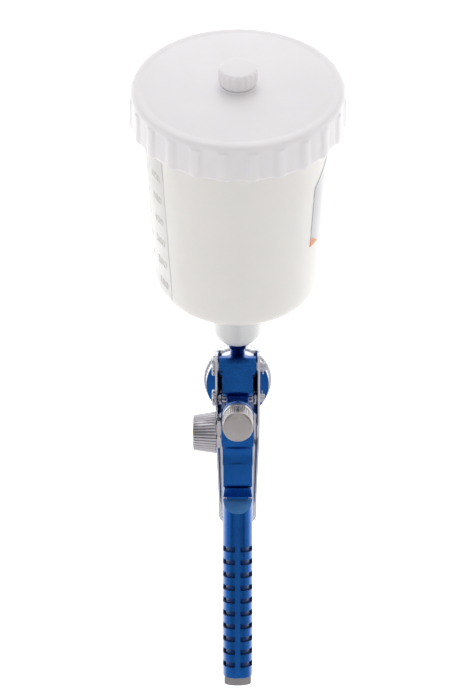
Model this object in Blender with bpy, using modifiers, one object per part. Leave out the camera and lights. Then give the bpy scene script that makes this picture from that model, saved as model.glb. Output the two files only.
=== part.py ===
"""Gravity-feed HVLP spray gun, modelled as an assembly of separate pieces.

Frame: metres, +Z up, +Y towards the nozzle, +X to the user's right hand when the
gun is held. The origin is where the paint port's axis meets the fluid axis.
"""

import math

import bmesh
import bpy
from mathutils import Matrix, Vector

MM = 0.001
FACETS = 20
GAP = 0.3 * MM

# Driving angles
PORT_LEAN = math.radians(27.5)
GRIP_LEAN = math.radians(11.0)

# Head, along the fluid axis
FLANGE_RADIUS = 19.3 * MM
FLANGE_REAR = 10.0 * MM
FLANGE_FRONT = 12.0 * MM
HEAD_THREAD_RADIUS = 16.9 * MM
HEAD_FRONT = 27.0 * MM
NOZZLE_PAD_FRONT = 24.0 * MM
AIR_CHAMBER_FLOOR = 19.0 * MM
RING_RADIUS = 21.25 * MM
RING_FRONT = 36.0 * MM
CAP_FRONT = 43.0 * MM
HORN_FRONT = 48.5 * MM
NOZZLE_TIP = 43.5 * MM
BARREL_RADIUS = 8.9 * MM

# Body thicknesses, as half widths across X
HALF_WEB = 6.75 * MM
HALF_BLOCK = 8.95 * MM
HALF_LUGS = 11.4 * MM
HALF_BOSS = 9.4 * MM
HALF_VALVE_BLOCK = 8.5 * MM

# Rear boss and fluid knob
BOSS_REAR = -63.0 * MM
BOSS_FRONT = -43.0 * MM
BOSS_FLAT_TOP = -3.5 * MM
BOSS_FLAT_BOTTOM = -17.8 * MM
KNOB_RADIUS = 8.95 * MM
KNOB_FRONT = BOSS_REAR - GAP
KNOB_REAR = -84.0 * MM

# Trigger
PIVOT = Vector((0.0, -20.0 * MM, 19.5 * MM))
NEEDLE_PIN = Vector((0.0, -20.0 * MM, 0.0))
TRIGGER_MID = 12.6 * MM
TRIGGER_SHEET = 1.6 * MM
TRIGGER_INNER = TRIGGER_MID - TRIGGER_SHEET / 2
TRIGGER_OUTER = TRIGGER_MID + TRIGGER_SHEET / 2

# Fan valve, on the left side of the rear boss
FAN_AXIS = Vector((0.0, -52.0 * MM, -12.4 * MM))
FAN_KNOB_OUTER = -26.2 * MM
FAN_KNOB_INNER = -12.6 * MM

# Air valve, under the needle
VALVE_Z = -36.0 * MM
VALVE_BLOCK_FRONT = -27.0 * MM
VALVE_BLOCK_REAR = -62.0 * MM

# Handle: origin at the middle of its lower end, local Z up along the grip
GRIP_FOOT = Vector((0.0, -76.9 * MM, -154.5 * MM))
GRIP_HALF_WIDTH = 8.8 * MM
GRIP_HALF_DEPTH = 14.0 * MM
GRIP_LENGTH = 112.0 * MM
GRIP_TOP = -50.7 * MM
NECK_REAR = -60.6 * MM
SLOT_COUNT = 10
SLOT_PITCH = 7.57 * MM
SLOT_HEIGHT = 3.1 * MM
SLOT_DEPTH = 2.0 * MM
SLOT_FIRST = 6.6 * MM
SPINE_HALF = 1.5 * MM

# Air inlet
INLET_FLATS = 15.8 * MM
INLET_HEIGHT = 5.3 * MM

# Cup, measured along the port's axis from the origin
PORT_RADIUS = 5.65 * MM
PORT_NECK_RADIUS = 4.45 * MM
PORT_TOP = 53.0 * MM
COLLAR_BOTTOM = 43.6 * MM
COLLAR_TOP = 73.5 * MM
SPIGOT_BOTTOM = 56.5 * MM
COLLAR_RADIUS = 14.6 * MM
CUP_FLOOR = 89.5 * MM
CUP_RIM = 217.8 * MM
CUP_BOTTOM_RADIUS = 47.2 * MM
CUP_TOP_RADIUS = 52.2 * MM
CUP_WALL = 2.0 * MM
LABEL_BOTTOM = 133.5 * MM
LABEL_TOP = 187.5 * MM
LABEL_GAP = 0.45 * MM
LABEL_HALF_ANGLE = math.radians(29.0)
LID_TOP = 222.8 * MM
LID_SKIRT_BOTTOM = 201.7 * MM
LID_RADIUS = 58.0 * MM
LID_WALL = 2.6 * MM
RIB_COUNT = 24
VENT_SEAT = 1.2 * MM
VENT_RIM = 2.6 * MM
VENT_TOP = 234.2 * MM
VENT_RADIUS = 10.6 * MM

FORWARD = Matrix.Rotation(-math.pi / 2, 4, "X")
TO_LEFT = Matrix.Rotation(-math.pi / 2, 4, "Y")
TO_RIGHT = Matrix.Rotation(math.pi / 2, 4, "Y")
PORT = Matrix.Rotation(PORT_LEAN, 4, "X")
GRIP = Matrix.Translation(GRIP_FOOT) @ Matrix.Rotation(-GRIP_LEAN, 4, "X")


# ---------------------------------------------------------------- scene tools

def clear_scene():
    for item in list(bpy.data.objects):
        bpy.data.objects.remove(item, do_unlink=True)


def new_collection(name):
    group = bpy.data.collections.new(name)
    bpy.context.scene.collection.children.link(group)
    return group


def metal_or_plastic(name, colour, roughness, metallic):
    material = bpy.data.materials.new(name)
    material.use_nodes = True
    shader = material.node_tree.nodes["Principled BSDF"]
    shader.inputs["Base Color"].default_value = (*colour, 1.0)
    shader.inputs["Roughness"].default_value = roughness
    shader.inputs["Metallic"].default_value = metallic
    return material


def place(item, matrix, group, material=None):
    group.objects.link(item)
    item.matrix_world = matrix
    if material:
        item.data.materials.append(material)
    return item


def mesh_object(name, matrix, group, material, build):
    """An object whose mesh is filled by build(bm)."""
    mesh = bpy.data.meshes.new(name)
    bm = bmesh.new()
    build(bm)
    bm.to_mesh(mesh)
    bm.free()
    return place(bpy.data.objects.new(name, mesh), matrix, group, material)


def turned(name, profile, matrix, group, material=None, steps=FACETS):
    """A turned solid: profile points (radius, height) run down the outer side,
    and back up the bore if there is one."""
    mesh = bpy.data.meshes.new(name)
    bm = bmesh.new()
    points = [bm.verts.new((radius, 0.0, height)) for radius, height in profile]
    for first, second in zip(points, points[1:]):
        bm.edges.new((first, second))
    if profile[0][0] > 0.0 or profile[-1][0] > 0.0:
        bm.edges.new((points[-1], points[0]))
    bm.to_mesh(mesh)
    bm.free()
    item = place(bpy.data.objects.new(name, mesh), matrix, group, material)
    screw = item.modifiers.new("Turn", "SCREW")
    screw.axis = "Z"
    screw.angle = 2.0 * math.pi
    screw.steps = steps
    screw.render_steps = steps
    screw.use_merge_vertices = True
    screw.merge_threshold = 0.00001
    screw.use_smooth_shade = True
    return item


def extruded(name, outline, half_width, matrix, group, material=None, rounding=0.0):
    """A flat outline of (y, z) points, extruded equally to both sides along X."""
    curve = bpy.data.curves.new(name, "CURVE")
    curve.dimensions = "2D"
    curve.fill_mode = "BOTH"
    curve.extrude = half_width
    spline = curve.splines.new("POLY")
    spline.points.add(len(outline) - 1)
    for point, (y, z) in zip(spline.points, outline):
        point.co = (y, z, 0.0, 1.0)
    spline.use_cyclic_u = True
    # The curve's plane is its local XY: local X becomes +Y and local Y becomes +Z.
    turn = Matrix(((0, 0, 1, 0), (1, 0, 0, 0), (0, 1, 0, 0), (0, 0, 0, 1)))
    flat = place(bpy.data.objects.new(name, curve), matrix @ turn, group)
    return as_mesh(flat, group, material, rounding)


def as_mesh(source, group, material=None, rounding=0.0):
    """Turn a curve object into a welded mesh object in the same place."""
    bpy.context.view_layer.update()
    depsgraph = bpy.context.evaluated_depsgraph_get()
    evaluated = source.evaluated_get(depsgraph)
    mesh = bpy.data.meshes.new_from_object(evaluated)
    bm = bmesh.new()
    bm.from_mesh(mesh)
    bmesh.ops.remove_doubles(bm, verts=bm.verts, dist=0.000001)
    if rounding:
        sharp = [edge for edge in bm.edges if edge.calc_face_angle(0.0) > math.radians(50)]
        bmesh.ops.bevel(bm, geom=sharp, offset=rounding, segments=2, profile=0.5,
                        affect="EDGES", clamp_overlap=True, material=-1)
    bm.to_mesh(mesh)
    bm.free()
    name = source.name
    matrix = source.matrix_world.copy()
    source.name = name + "_curve"
    item = bpy.data.objects.new(name, mesh)
    place(item, matrix, group, material)
    curve = source.data
    bpy.data.objects.remove(source, do_unlink=True)
    bpy.data.curves.remove(curve)
    return item


def rod(name, radius, start, end, group, material=None, facets=FACETS):
    """A plain round bar between two points."""
    start = Vector(start)
    end = Vector(end)
    along = end - start

    def build(bm):
        bmesh.ops.create_cone(bm, cap_ends=True, segments=facets, radius1=radius,
                              radius2=radius, depth=along.length)

    turn = along.to_track_quat("Z", "Y").to_matrix().to_4x4()
    matrix = Matrix.Translation((start + end) / 2) @ turn
    return mesh_object(name, matrix, group, material, build)


def box(name, low, high, matrix, group, material=None):
    low = Vector(low)
    high = Vector(high)

    def build(bm):
        bmesh.ops.create_cube(bm, size=1.0)
        for vert in bm.verts:
            vert.co = Vector([(low[i] + high[i]) / 2 + vert.co[i] * (high[i] - low[i]) for i in range(3)])

    return mesh_object(name, matrix, group, material, build)


def prism(name, flats, bottom, top, matrix, group, material=None, sides=6, turn=0.0):
    """A straight prism with the given distance across flats, along local Z."""
    def build(bm):
        radius = flats / 2 / math.cos(math.pi / sides)
        bmesh.ops.create_cone(bm, cap_ends=True, segments=sides, radius1=radius,
                              radius2=radius, depth=top - bottom)
        bmesh.ops.rotate(bm, verts=bm.verts, matrix=Matrix.Rotation(turn, 3, "Z"))
        bmesh.ops.translate(bm, verts=bm.verts, vec=(0, 0, (top + bottom) / 2))

    return mesh_object(name, matrix, group, material, build)


def combine(item, other, operation, solver="EXACT"):
    """Join or cut item with other, which becomes a hidden cutter."""
    change = item.modifiers.new(other.name, "BOOLEAN")
    change.operation = operation
    change.solver = solver
    change.object = other
    other.hide_render = True
    other.display_type = "WIRE"
    return item


def bake(item):
    """Replace an object's modifiers by their result."""
    bpy.context.view_layer.update()
    depsgraph = bpy.context.evaluated_depsgraph_get()
    mesh = bpy.data.meshes.new_from_object(item.evaluated_get(depsgraph))
    item.modifiers.clear()
    item.data = mesh
    return item


def smooth(item, degrees=35.0):
    item.data.shade_smooth()
    item.data.set_sharp_from_angle(angle=math.radians(degrees))
    return item


# ---------------------------------------------------------------- gun body

def grip_section(shrink=0.0, count=28):
    """Rounded oval across the handle: x sideways, y fore and aft."""
    points = []
    for index in range(count):
        angle = 2 * math.pi * index / count
        cosine = math.cos(angle)
        sine = math.sin(angle)
        x = math.copysign(abs(cosine) ** 0.8, cosine) * (GRIP_HALF_WIDTH - shrink)
        y = math.copysign(abs(sine) ** 0.8, sine) * (GRIP_HALF_DEPTH - shrink)
        points.append((x, y))
    return points


def grip_solid(name, shrink, bottom, top, group):
    """The handle's oval section drawn out along the grip."""
    def build(bm):
        ring = [bm.verts.new((x, y, bottom)) for x, y in grip_section(shrink)]
        face = bm.faces.new(ring)
        face.normal_update()
        if face.normal.z > 0:
            face.normal_flip()
        made = bmesh.ops.extrude_face_region(bm, geom=[face])
        moved = [part for part in made["geom"] if isinstance(part, bmesh.types.BMVert)]
        bmesh.ops.translate(bm, verts=moved, vec=(0, 0, top - bottom))
        bmesh.ops.recalc_face_normals(bm, faces=bm.faces)

    return mesh_object(name, GRIP, group, None, build)


def body_solids(group):
    """The body's masses, each a simple solid that overlaps its neighbours."""
    head = turned("head", [
        (0.0, NOZZLE_PAD_FRONT), (9.4 * MM, NOZZLE_PAD_FRONT), (9.4 * MM, AIR_CHAMBER_FLOOR),
        (14.8 * MM, AIR_CHAMBER_FLOOR), (14.8 * MM, HEAD_FRONT), (HEAD_THREAD_RADIUS, HEAD_FRONT),
        (HEAD_THREAD_RADIUS, FLANGE_FRONT),
        (FLANGE_RADIUS, FLANGE_FRONT), (FLANGE_RADIUS, FLANGE_REAR),
        (BARREL_RADIUS + 1.5 * MM, FLANGE_REAR), (BARREL_RADIUS, FLANGE_REAR - 2.5 * MM),
        (BARREL_RADIUS, -10.0 * MM), (0.0, -10.0 * MM)], FORWARD, group, steps=48)
    port = turned("port", [
        (0.0, PORT_TOP), (PORT_RADIUS - 0.4 * MM, PORT_TOP), (PORT_RADIUS - 0.4 * MM, COLLAR_BOTTOM - GAP),
        (PORT_RADIUS, COLLAR_BOTTOM - GAP), (PORT_RADIUS, 36.0 * MM), (PORT_NECK_RADIUS, 36.0 * MM),
        (PORT_NECK_RADIUS, 29.0 * MM), (7.4 * MM, 23.0 * MM), (7.4 * MM, 0.0), (0.0, 0.0)], PORT, group)
    block = extruded("block", [
        (y * MM, z * MM) for y, z in (
            (3, -4), (3, 16), (-8, 19), (-14, 23.5), (-20, 25.2), (-27, 24.6), (-31, 20.5), (-34, 14),
            (-36.6, 9), (-36.8, 7), (-34, 4.5), (-20, 1.5))], HALF_BLOCK, Matrix(), group)
    crown = extruded("crown", [
        (y * MM, z * MM) for y, z in (
            (-14.4, 20), (-14.8, 23.4), (-17, 25.6), (-21, 26.6), (-26, 26.2), (-29.4, 23.4), (-30, 20.5))],
        HALF_LUGS, Matrix(), group, rounding=1.0 * MM)
    lugs = rod("lugs", 6.2 * MM, PIVOT - Vector((HALF_LUGS, 0, 0)), PIVOT + Vector((HALF_LUGS, 0, 0)), group)
    web = extruded("web", [
        (y * MM, z * MM) for y, z in (
            (9, -15.5), (9, 8), (-38, 6.2), (-44, 4.9), (-50, 5.3), (-56, 7), (-56, -24), (-60.6, -30),
            (-60.6, -58), (-46, -60), (-43, -54), (-42, -46), (-31, -42), (-31, -30), (-32, -24),
            (-27, -18), (-20, -15.5))], HALF_WEB, Matrix(), group, rounding=1.0 * MM)
    # The boss is round above the needle, tapers to the waist in front, and has flat sides below.
    boss = turned("boss", [
        (0.0, -48.5 * MM), (6.4 * MM, -48.5 * MM), (9.2 * MM, -59.5 * MM),
        (9.2 * MM, BOSS_REAR + 0.8 * MM), (8.6 * MM, BOSS_REAR), (0.0, BOSS_REAR)],
        FORWARD, group, steps=40)
    cheeks = box("cheeks", (-HALF_BOSS, BOSS_REAR, BOSS_FLAT_BOTTOM), (HALF_BOSS, BOSS_FRONT, BOSS_FLAT_TOP),
                 Matrix(), group)
    shoulders = box("shoulders", (-HALF_BOSS, BOSS_REAR, BOSS_FLAT_TOP - 1 * MM),
                    (HALF_BOSS, -59.0 * MM, 0.0), Matrix(), group)
    # A hollow cove runs from the boss down to the valve block.
    cove = extruded("cove", [
        (y * MM, z * MM) for y, z in (
            (-62.6, -16), (-62.6, -18), (-61, -20), (-60.2, -22.5), (-60.3, -25.5), (-61.4, -28),
            (-61.8, -29.0), (-61.0, -30), (-40, -30), (-40, -16))], 8.8 * MM, Matrix(), group)
    valve_block = extruded("valve_block", [
        (y * MM, z * MM) for y, z in (
            (-27, -30.5), (-27, -41.5), (-29, -43.4), (-61, -43.4), (-62, -42.6), (-62, -28.9),
            (-61.4, -28.3), (-32, -28.3), (-29, -29))], HALF_VALVE_BLOCK, Matrix(), group,
        rounding=0.8 * MM)
    grip = grip_solid("grip", 0.0, 0.0, GRIP_LENGTH, group)
    # The handle's top is a low ridge at the neck's rear, which slopes down in front and behind.
    for name, tilt, rear, front in (("grip_front_cut", -16.0, -1 * MM, 40 * MM),
                                    ("grip_rear_cut", 25.4, -30 * MM, 0.0)):
        ridge = Matrix.Translation((0, NECK_REAR, GRIP_TOP)) @ Matrix.Rotation(math.radians(tilt), 4, "X")
        cut = box(name, (-14 * MM, rear, 0), (14 * MM, front, 30 * MM), ridge, group)
        combine(grip, cut, "DIFFERENCE", "MANIFOLD")
    return [head, port, block, crown, lugs, web, boss, cheeks, shoulders, cove, valve_block, grip]


def body_cutters(group):
    """Everything that is machined out of the body."""
    cutters = []
    cutters.append(turned("nozzle_bore", [
        (0.0, 28 * MM), (5.2 * MM, 28 * MM), (5.2 * MM, 7 * MM), (2.2 * MM, 4 * MM),
        (2.2 * MM, -3.2 * MM), (3.6 * MM, -3.2 * MM), (3.6 * MM, -12 * MM), (0.0, -12 * MM)], FORWARD, group))
    cutters.append(rod("paint_bore", 3.2 * MM, (0, 0, 0), PORT @ Vector((0, 0, 60 * MM)), group))
    # Window that the trigger's lower pin and the needle's collar move in.
    cutters.append(box("pin_window", (-20 * MM, -34 * MM, -5.6 * MM), (20 * MM, -11 * MM, 5.6 * MM),
                       Matrix(), group))
    cutters.append(turned("spring_bore", [
        (0.0, -33 * MM), (2.2 * MM, -33 * MM), (2.2 * MM, -48.7 * MM), (5.6 * MM, -48.7 * MM),
        (5.6 * MM, -70 * MM), (0.0, -70 * MM)], FORWARD, group))
    cutters.append(rod("pivot_bore", 3.25 * MM, PIVOT - Vector((20 * MM, 0, 0)),
                       PIVOT + Vector((20 * MM, 0, 0)), group))
    # Air valve chamber, open at the front.
    cutters.append(turned("valve_bore", [
        (0.0, -20 * MM), (5.1 * MM, -20 * MM), (5.1 * MM, -42 * MM), (4.2 * MM, -42 * MM),
        (4.2 * MM, -60 * MM), (0.0, -60 * MM)],
        Matrix.Translation((0, 0, VALVE_Z)) @ FORWARD, group))
    # Drilled air ways: up the handle, up from the valve, and forward to the head.
    cutters.append(rod("grip_air_way", 2.7 * MM, GRIP @ Vector((0, 0, -2 * MM)),
                       GRIP @ Vector((0, 0, 121 * MM)), group))
    cutters.append(rod("inlet_bore", 6.3 * MM, GRIP @ Vector((0, 0, -2 * MM)),
                       GRIP @ Vector((0, 0, 12 * MM)), group))
    cutters.append(rod("rising_air_way", 2.1 * MM, (0, -36.5 * MM, -36 * MM), (0, -36.5 * MM, -11.5 * MM),
                       group, facets=12))
    cutters.append(rod("forward_air_way", 2.0 * MM, (0, -50 * MM, -11.5 * MM), (0, 22 * MM, -11.5 * MM),
                       group, facets=12))
    cutters.append(rod("fan_bore", 4.7 * MM, FAN_AXIS - Vector((20 * MM, 0, 0)),
                       FAN_AXIS + Vector((4 * MM, 0, 0)), group))
    return cutters


def grip_slots(group):
    """Shallow slots around the back of the handle, on both sides of the spine."""
    slots = []
    for row in range(SLOT_COUNT):
        bottom = SLOT_FIRST + row * SLOT_PITCH
        for side in (-1, 1):
            low = min(side * SPINE_HALF, side * 12 * MM)
            high = max(side * SPINE_HALF, side * 12 * MM)
            slots.append(box(f"slot_{row}_{side}", (low, -18 * MM, bottom),
                             (high, 3 * MM, bottom + SLOT_HEIGHT), GRIP, group))
    return slots


def gun_body(parts, cutters, material):
    """The one-piece forging: its masses joined, then slotted and bored."""
    solids = body_solids(cutters)
    body = solids[0]
    for solid in solids[1:]:
        combine(body, solid, "UNION", "MANIFOLD")
    core = grip_solid("slot_core", SLOT_DEPTH, -5 * MM, GRIP_LENGTH + 5 * MM, cutters)
    for slot in grip_slots(cutters):
        combine(slot, core, "DIFFERENCE", "MANIFOLD")
        combine(body, slot, "DIFFERENCE", "MANIFOLD")
    for cutter in body_cutters(cutters):
        combine(body, cutter, "DIFFERENCE", "MANIFOLD")
    bake(body)
    cutters.objects.unlink(body)
    parts.objects.link(body)
    body.name = "gun_body"
    body.hide_render = False
    body.display_type = "TEXTURED"
    body.data.materials.clear()
    body.data.materials.append(material)
    return smooth(body)


# ---------------------------------------------------------------- head pieces

def head_pieces(parts, cutters, steel, chrome, brass, plastic):
    turned("fluid_nozzle", [
        (0.9 * MM, NOZZLE_TIP), (2.2 * MM, NOZZLE_TIP), (2.2 * MM, NOZZLE_TIP - 2 * MM),
        (4.6 * MM, 36 * MM), (6.6 * MM, 33 * MM), (6.6 * MM, 30.2 * MM), (8.6 * MM, 30.2 * MM),
        (8.6 * MM, 25.6 * MM), (4.8 * MM, 25.6 * MM), (4.8 * MM, 8 * MM), (2.6 * MM, 8 * MM),
        (2.6 * MM, 37 * MM), (0.9 * MM, 42 * MM)], FORWARD, parts, steel)
    turned("nozzle_seal", [
        (8.4 * MM, 25.3 * MM), (8.4 * MM, 24.3 * MM), (5.3 * MM, 24.3 * MM), (5.3 * MM, 25.3 * MM)],
        FORWARD, parts, plastic)
    baffle = turned("air_distribution_ring", [
        (14.5 * MM, 29.6 * MM), (14.5 * MM, 22 * MM), (13.6 * MM, 22 * MM), (13.6 * MM, 27.4 * MM),
        (9.0 * MM, 27.4 * MM), (9.0 * MM, 29.6 * MM)], FORWARD, parts, plastic, steps=32)
    for index in range(8):
        angle = 2 * math.pi * (index + 0.5) / 8
        x = 11.3 * MM * math.cos(angle)
        z = 11.3 * MM * math.sin(angle)
        hole = rod(f"baffle_hole_{index}", 0.9 * MM, (x, 26 * MM, z), (x, 31 * MM, z), cutters, facets=8)
        combine(baffle, hole, "DIFFERENCE")
    cap = turned("air_cap", [
        (2.9 * MM, CAP_FRONT), (6.5 * MM, CAP_FRONT), (8.5 * MM, 41.5 * MM), (14.6 * MM, 36.6 * MM),
        (14.6 * MM, 32.8 * MM), (16.4 * MM, 32.8 * MM), (16.4 * MM, 30.2 * MM), (12.6 * MM, 30.2 * MM),
        (12.6 * MM, 35 * MM), (6.5 * MM, 40 * MM), (2.9 * MM, 41 * MM)], FORWARD, parts, brass, steps=32)
    for side in (-1, 1):
        horn = extruded(f"horn_{side}", [
            (35.5 * MM, 13.6 * MM), (HORN_FRONT, 13.0 * MM), (HORN_FRONT, 10.6 * MM), (43.5 * MM, 7.6 * MM),
            (39.6 * MM, 9.4 * MM)], 2.6 * MM,
            Matrix.Rotation(math.pi / 2 * side, 4, "Y"), cutters, rounding=0.5 * MM)
        combine(cap, horn, "UNION")
    bake(cap)
    smooth(cap)
    turned("air_cap_ring", [
        (15.2 * MM, RING_FRONT), (19.0 * MM, RING_FRONT), (RING_RADIUS, 34.6 * MM), (RING_RADIUS, 22.4 * MM),
        (20.7 * MM, 21.8 * MM), (19.2 * MM, 21.8 * MM), (19.2 * MM, 20.6 * MM), (20.0 * MM, 20.2 * MM),
        (19.4 * MM, FLANGE_FRONT + GAP), (17.3 * MM, FLANGE_FRONT + GAP), (17.3 * MM, 33.2 * MM),
        (15.2 * MM, 33.2 * MM)], FORWARD, parts, chrome, steps=40)


def needle_pieces(parts, cutters, steel, brass, plastic):
    turned("fluid_needle", [
        (0.0, 43 * MM), (0.6 * MM, 41.5 * MM), (1.5 * MM, 36 * MM), (1.5 * MM, -51 * MM),
        (3.2 * MM, -51 * MM), (3.2 * MM, -53 * MM), (1.4 * MM, -53 * MM), (1.4 * MM, -73 * MM),
        (0.0, -73 * MM)],
        FORWARD, parts, steel, steps=16)
    turned("needle_collar", [
        (3.3 * MM, -24.4 * MM), (3.3 * MM, -28.4 * MM), (1.7 * MM, -28.4 * MM), (1.7 * MM, -24.4 * MM)],
        FORWARD, parts, brass, steps=16)
    turned("needle_packing", [
        (3.3 * MM, -3.5 * MM), (3.3 * MM, -5.7 * MM), (1.7 * MM, -5.7 * MM), (1.7 * MM, -3.5 * MM)],
        FORWARD, parts, plastic, steps=16)
    nut = turned("needle_packing_nut", [
        (3.3 * MM, -6.0 * MM), (3.3 * MM, -11.3 * MM), (4.9 * MM, -11.3 * MM), (4.9 * MM, -15.5 * MM),
        (1.75 * MM, -15.5 * MM), (1.75 * MM, -6.0 * MM)], FORWARD, parts, brass)
    hexagon = prism("packing_hexagon", 8.6 * MM, -17 * MM, -5 * MM, FORWARD, cutters)
    combine(nut, hexagon, "INTERSECT")
    turned("needle_guide_sleeve", [
        (5.3 * MM, -49.1 * MM), (5.3 * MM, -71 * MM), (4.1 * MM, -71 * MM), (4.1 * MM, -50.5 * MM),
        (1.9 * MM, -50.5 * MM), (1.9 * MM, -49.1 * MM)], FORWARD, parts, brass)


def coil(name, wire, radius, turns, start, end, z, parts, material):
    """A compression spring along Y with its wire drawn as a thin tube."""
    curve = bpy.data.curves.new(name, "CURVE")
    curve.dimensions = "3D"
    curve.bevel_depth = wire
    curve.bevel_resolution = 1
    curve.use_fill_caps = True
    spline = curve.splines.new("POLY")
    count = turns * 10 + 1
    spline.points.add(count - 1)
    for index, point in enumerate(spline.points):
        angle = 2 * math.pi * index / 10
        along = start + wire + (end - start - 2 * wire) * index / (count - 1)
        if end < start:
            along = start - wire + (end - start + 2 * wire) * index / (count - 1)
        point.co = (radius * math.cos(angle), along, z + radius * math.sin(angle), 1.0)
    item = place(bpy.data.objects.new(name, curve), Matrix(), parts)
    return smooth(as_mesh(item, parts, material), 60.0)


def fluid_knob(parts, material):
    """Knurled knob that sets how far the needle can open."""
    return turned("fluid_knob", [
        (0.0, -79.5 * MM), (2.2 * MM, -79.5 * MM), (2.2 * MM, -74.5 * MM), (3.9 * MM, -74.5 * MM),
        (3.9 * MM, -71.4 * MM), (5.7 * MM, -71.4 * MM), (5.7 * MM, KNOB_FRONT),
        (KNOB_RADIUS - 0.3 * MM, KNOB_FRONT), (KNOB_RADIUS, KNOB_FRONT - 0.5 * MM),
        (KNOB_RADIUS, -68.5 * MM), (KNOB_RADIUS - 0.9 * MM, -68.9 * MM), (KNOB_RADIUS - 0.9 * MM, -70.4 * MM),
        (KNOB_RADIUS, -70.8 * MM), (KNOB_RADIUS, -81.6 * MM), (KNOB_RADIUS - 1.2 * MM, KNOB_REAR),
        (0.0, KNOB_REAR)], FORWARD, parts, material, steps=32)


def finish(item, name, parts, cutters, material):
    """Keep a solid that was built among the cutters as a part."""
    bake(item)
    cutters.objects.unlink(item)
    parts.objects.link(item)
    item.name = name
    item.hide_render = False
    item.display_type = "TEXTURED"
    item.data.materials.clear()
    item.data.materials.append(material)
    return smooth(item)


# ---------------------------------------------------------------- trigger

def trigger_edges(z):
    """Front and rear edge of the trigger's side plates, as y at height z (mm)."""
    front = ((28.0, -17.0), (26.5, -13.5), (22.0, -11.0), (12.0, -10.2), (0.0, -9.6), (-14.0, -8.4),
             (-26.0, -6.0), (-38.0, -5.4), (-50.0, -6.2), (-62.0, -5.4), (-74.0, -2.0), (-82.0, 2.2),
             (-87.0, 6.0))
    rear = ((28.0, -22.0), (26.5, -26.0), (22.0, -28.0), (12.0, -28.0), (0.0, -27.6), (-14.0, -24.0),
            (-26.0, -17.0), (-38.0, -13.4), (-50.0, -12.4), (-62.0, -11.0), (-74.0, -7.2), (-82.0, -2.4),
            (-87.0, 2.6))
    return sample(front, z), sample(rear, z)


def sample(points, z):
    for (z1, y1), (z2, y2) in zip(points, points[1:]):
        if z2 <= z <= z1:
            return y1 + (y2 - y1) * (z1 - z) / (z1 - z2)
    raise ValueError(z)


def trigger(parts, cutters, material):
    """A chrome channel: two side plates, joined by a web below the body."""
    rows = (28.0, 26.5, 22.0, 12.0, 0.0, -14.0, -21.0, -26.0, -38.0, -50.0, -62.0, -74.0, -82.0, -87.0)
    web_from = rows.index(-21.0)

    def build(bm):
        grid = []
        for z in rows:
            front, rear = trigger_edges(z)
            taper = 1.0 - 0.13 * max(0.0, min(1.0, (-26.0 - z) / 40.0))
            if z <= -82.0:
                taper *= 0.86 if z > -86.0 else 0.66
            side = TRIGGER_MID / MM * taper
            bend = min(3.0, (front - rear) * 0.5)
            half = [(side, rear), (side, (rear + front - bend) / 2), (side, front - bend),
                    (side - bend * 0.3, front - bend * 0.3), (side - bend, front), (side * 0.35, front)]
            row = [(-x, y) for x, y in half] + [(x, y) for x, y in reversed(half)]
            grid.append([bm.verts.new((x * MM, y * MM, z * MM)) for x, y in row])
        for index, (upper, lower) in enumerate(zip(grid, grid[1:])):
            for column in range(len(upper) - 1):
                if index < web_from and column in (4, 5, 6):
                    continue
                bm.faces.new((upper[column], upper[column + 1], lower[column + 1], lower[column]))
        loose = [vert for vert in bm.verts if not vert.link_faces]
        bmesh.ops.delete(bm, geom=loose, context="VERTS")
        bmesh.ops.recalc_face_normals(bm, faces=bm.faces)

    plate = mesh_object("trigger", Matrix(), cutters, None, build)
    sheet = plate.modifiers.new("Sheet", "SOLIDIFY")
    sheet.thickness = TRIGGER_SHEET
    sheet.offset = 0.0
    sheet.use_even_offset = True
    for name, centre, radius in (("pivot_hole", PIVOT, 3.3 * MM), ("pin_hole", NEEDLE_PIN, 2.8 * MM)):
        reach = Vector((30 * MM, 0, 0))
        combine(plate, rod(name, radius, centre - reach, centre + reach, cutters), "DIFFERENCE")
    return finish(plate, "trigger", parts, cutters, material)


def pin(name, centre, profile, parts, material, steps=FACETS):
    """A turned pin across the gun: local Z runs to the right."""
    return turned(name, profile, Matrix.Translation(centre) @ TO_RIGHT, parts, material, steps)


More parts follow.
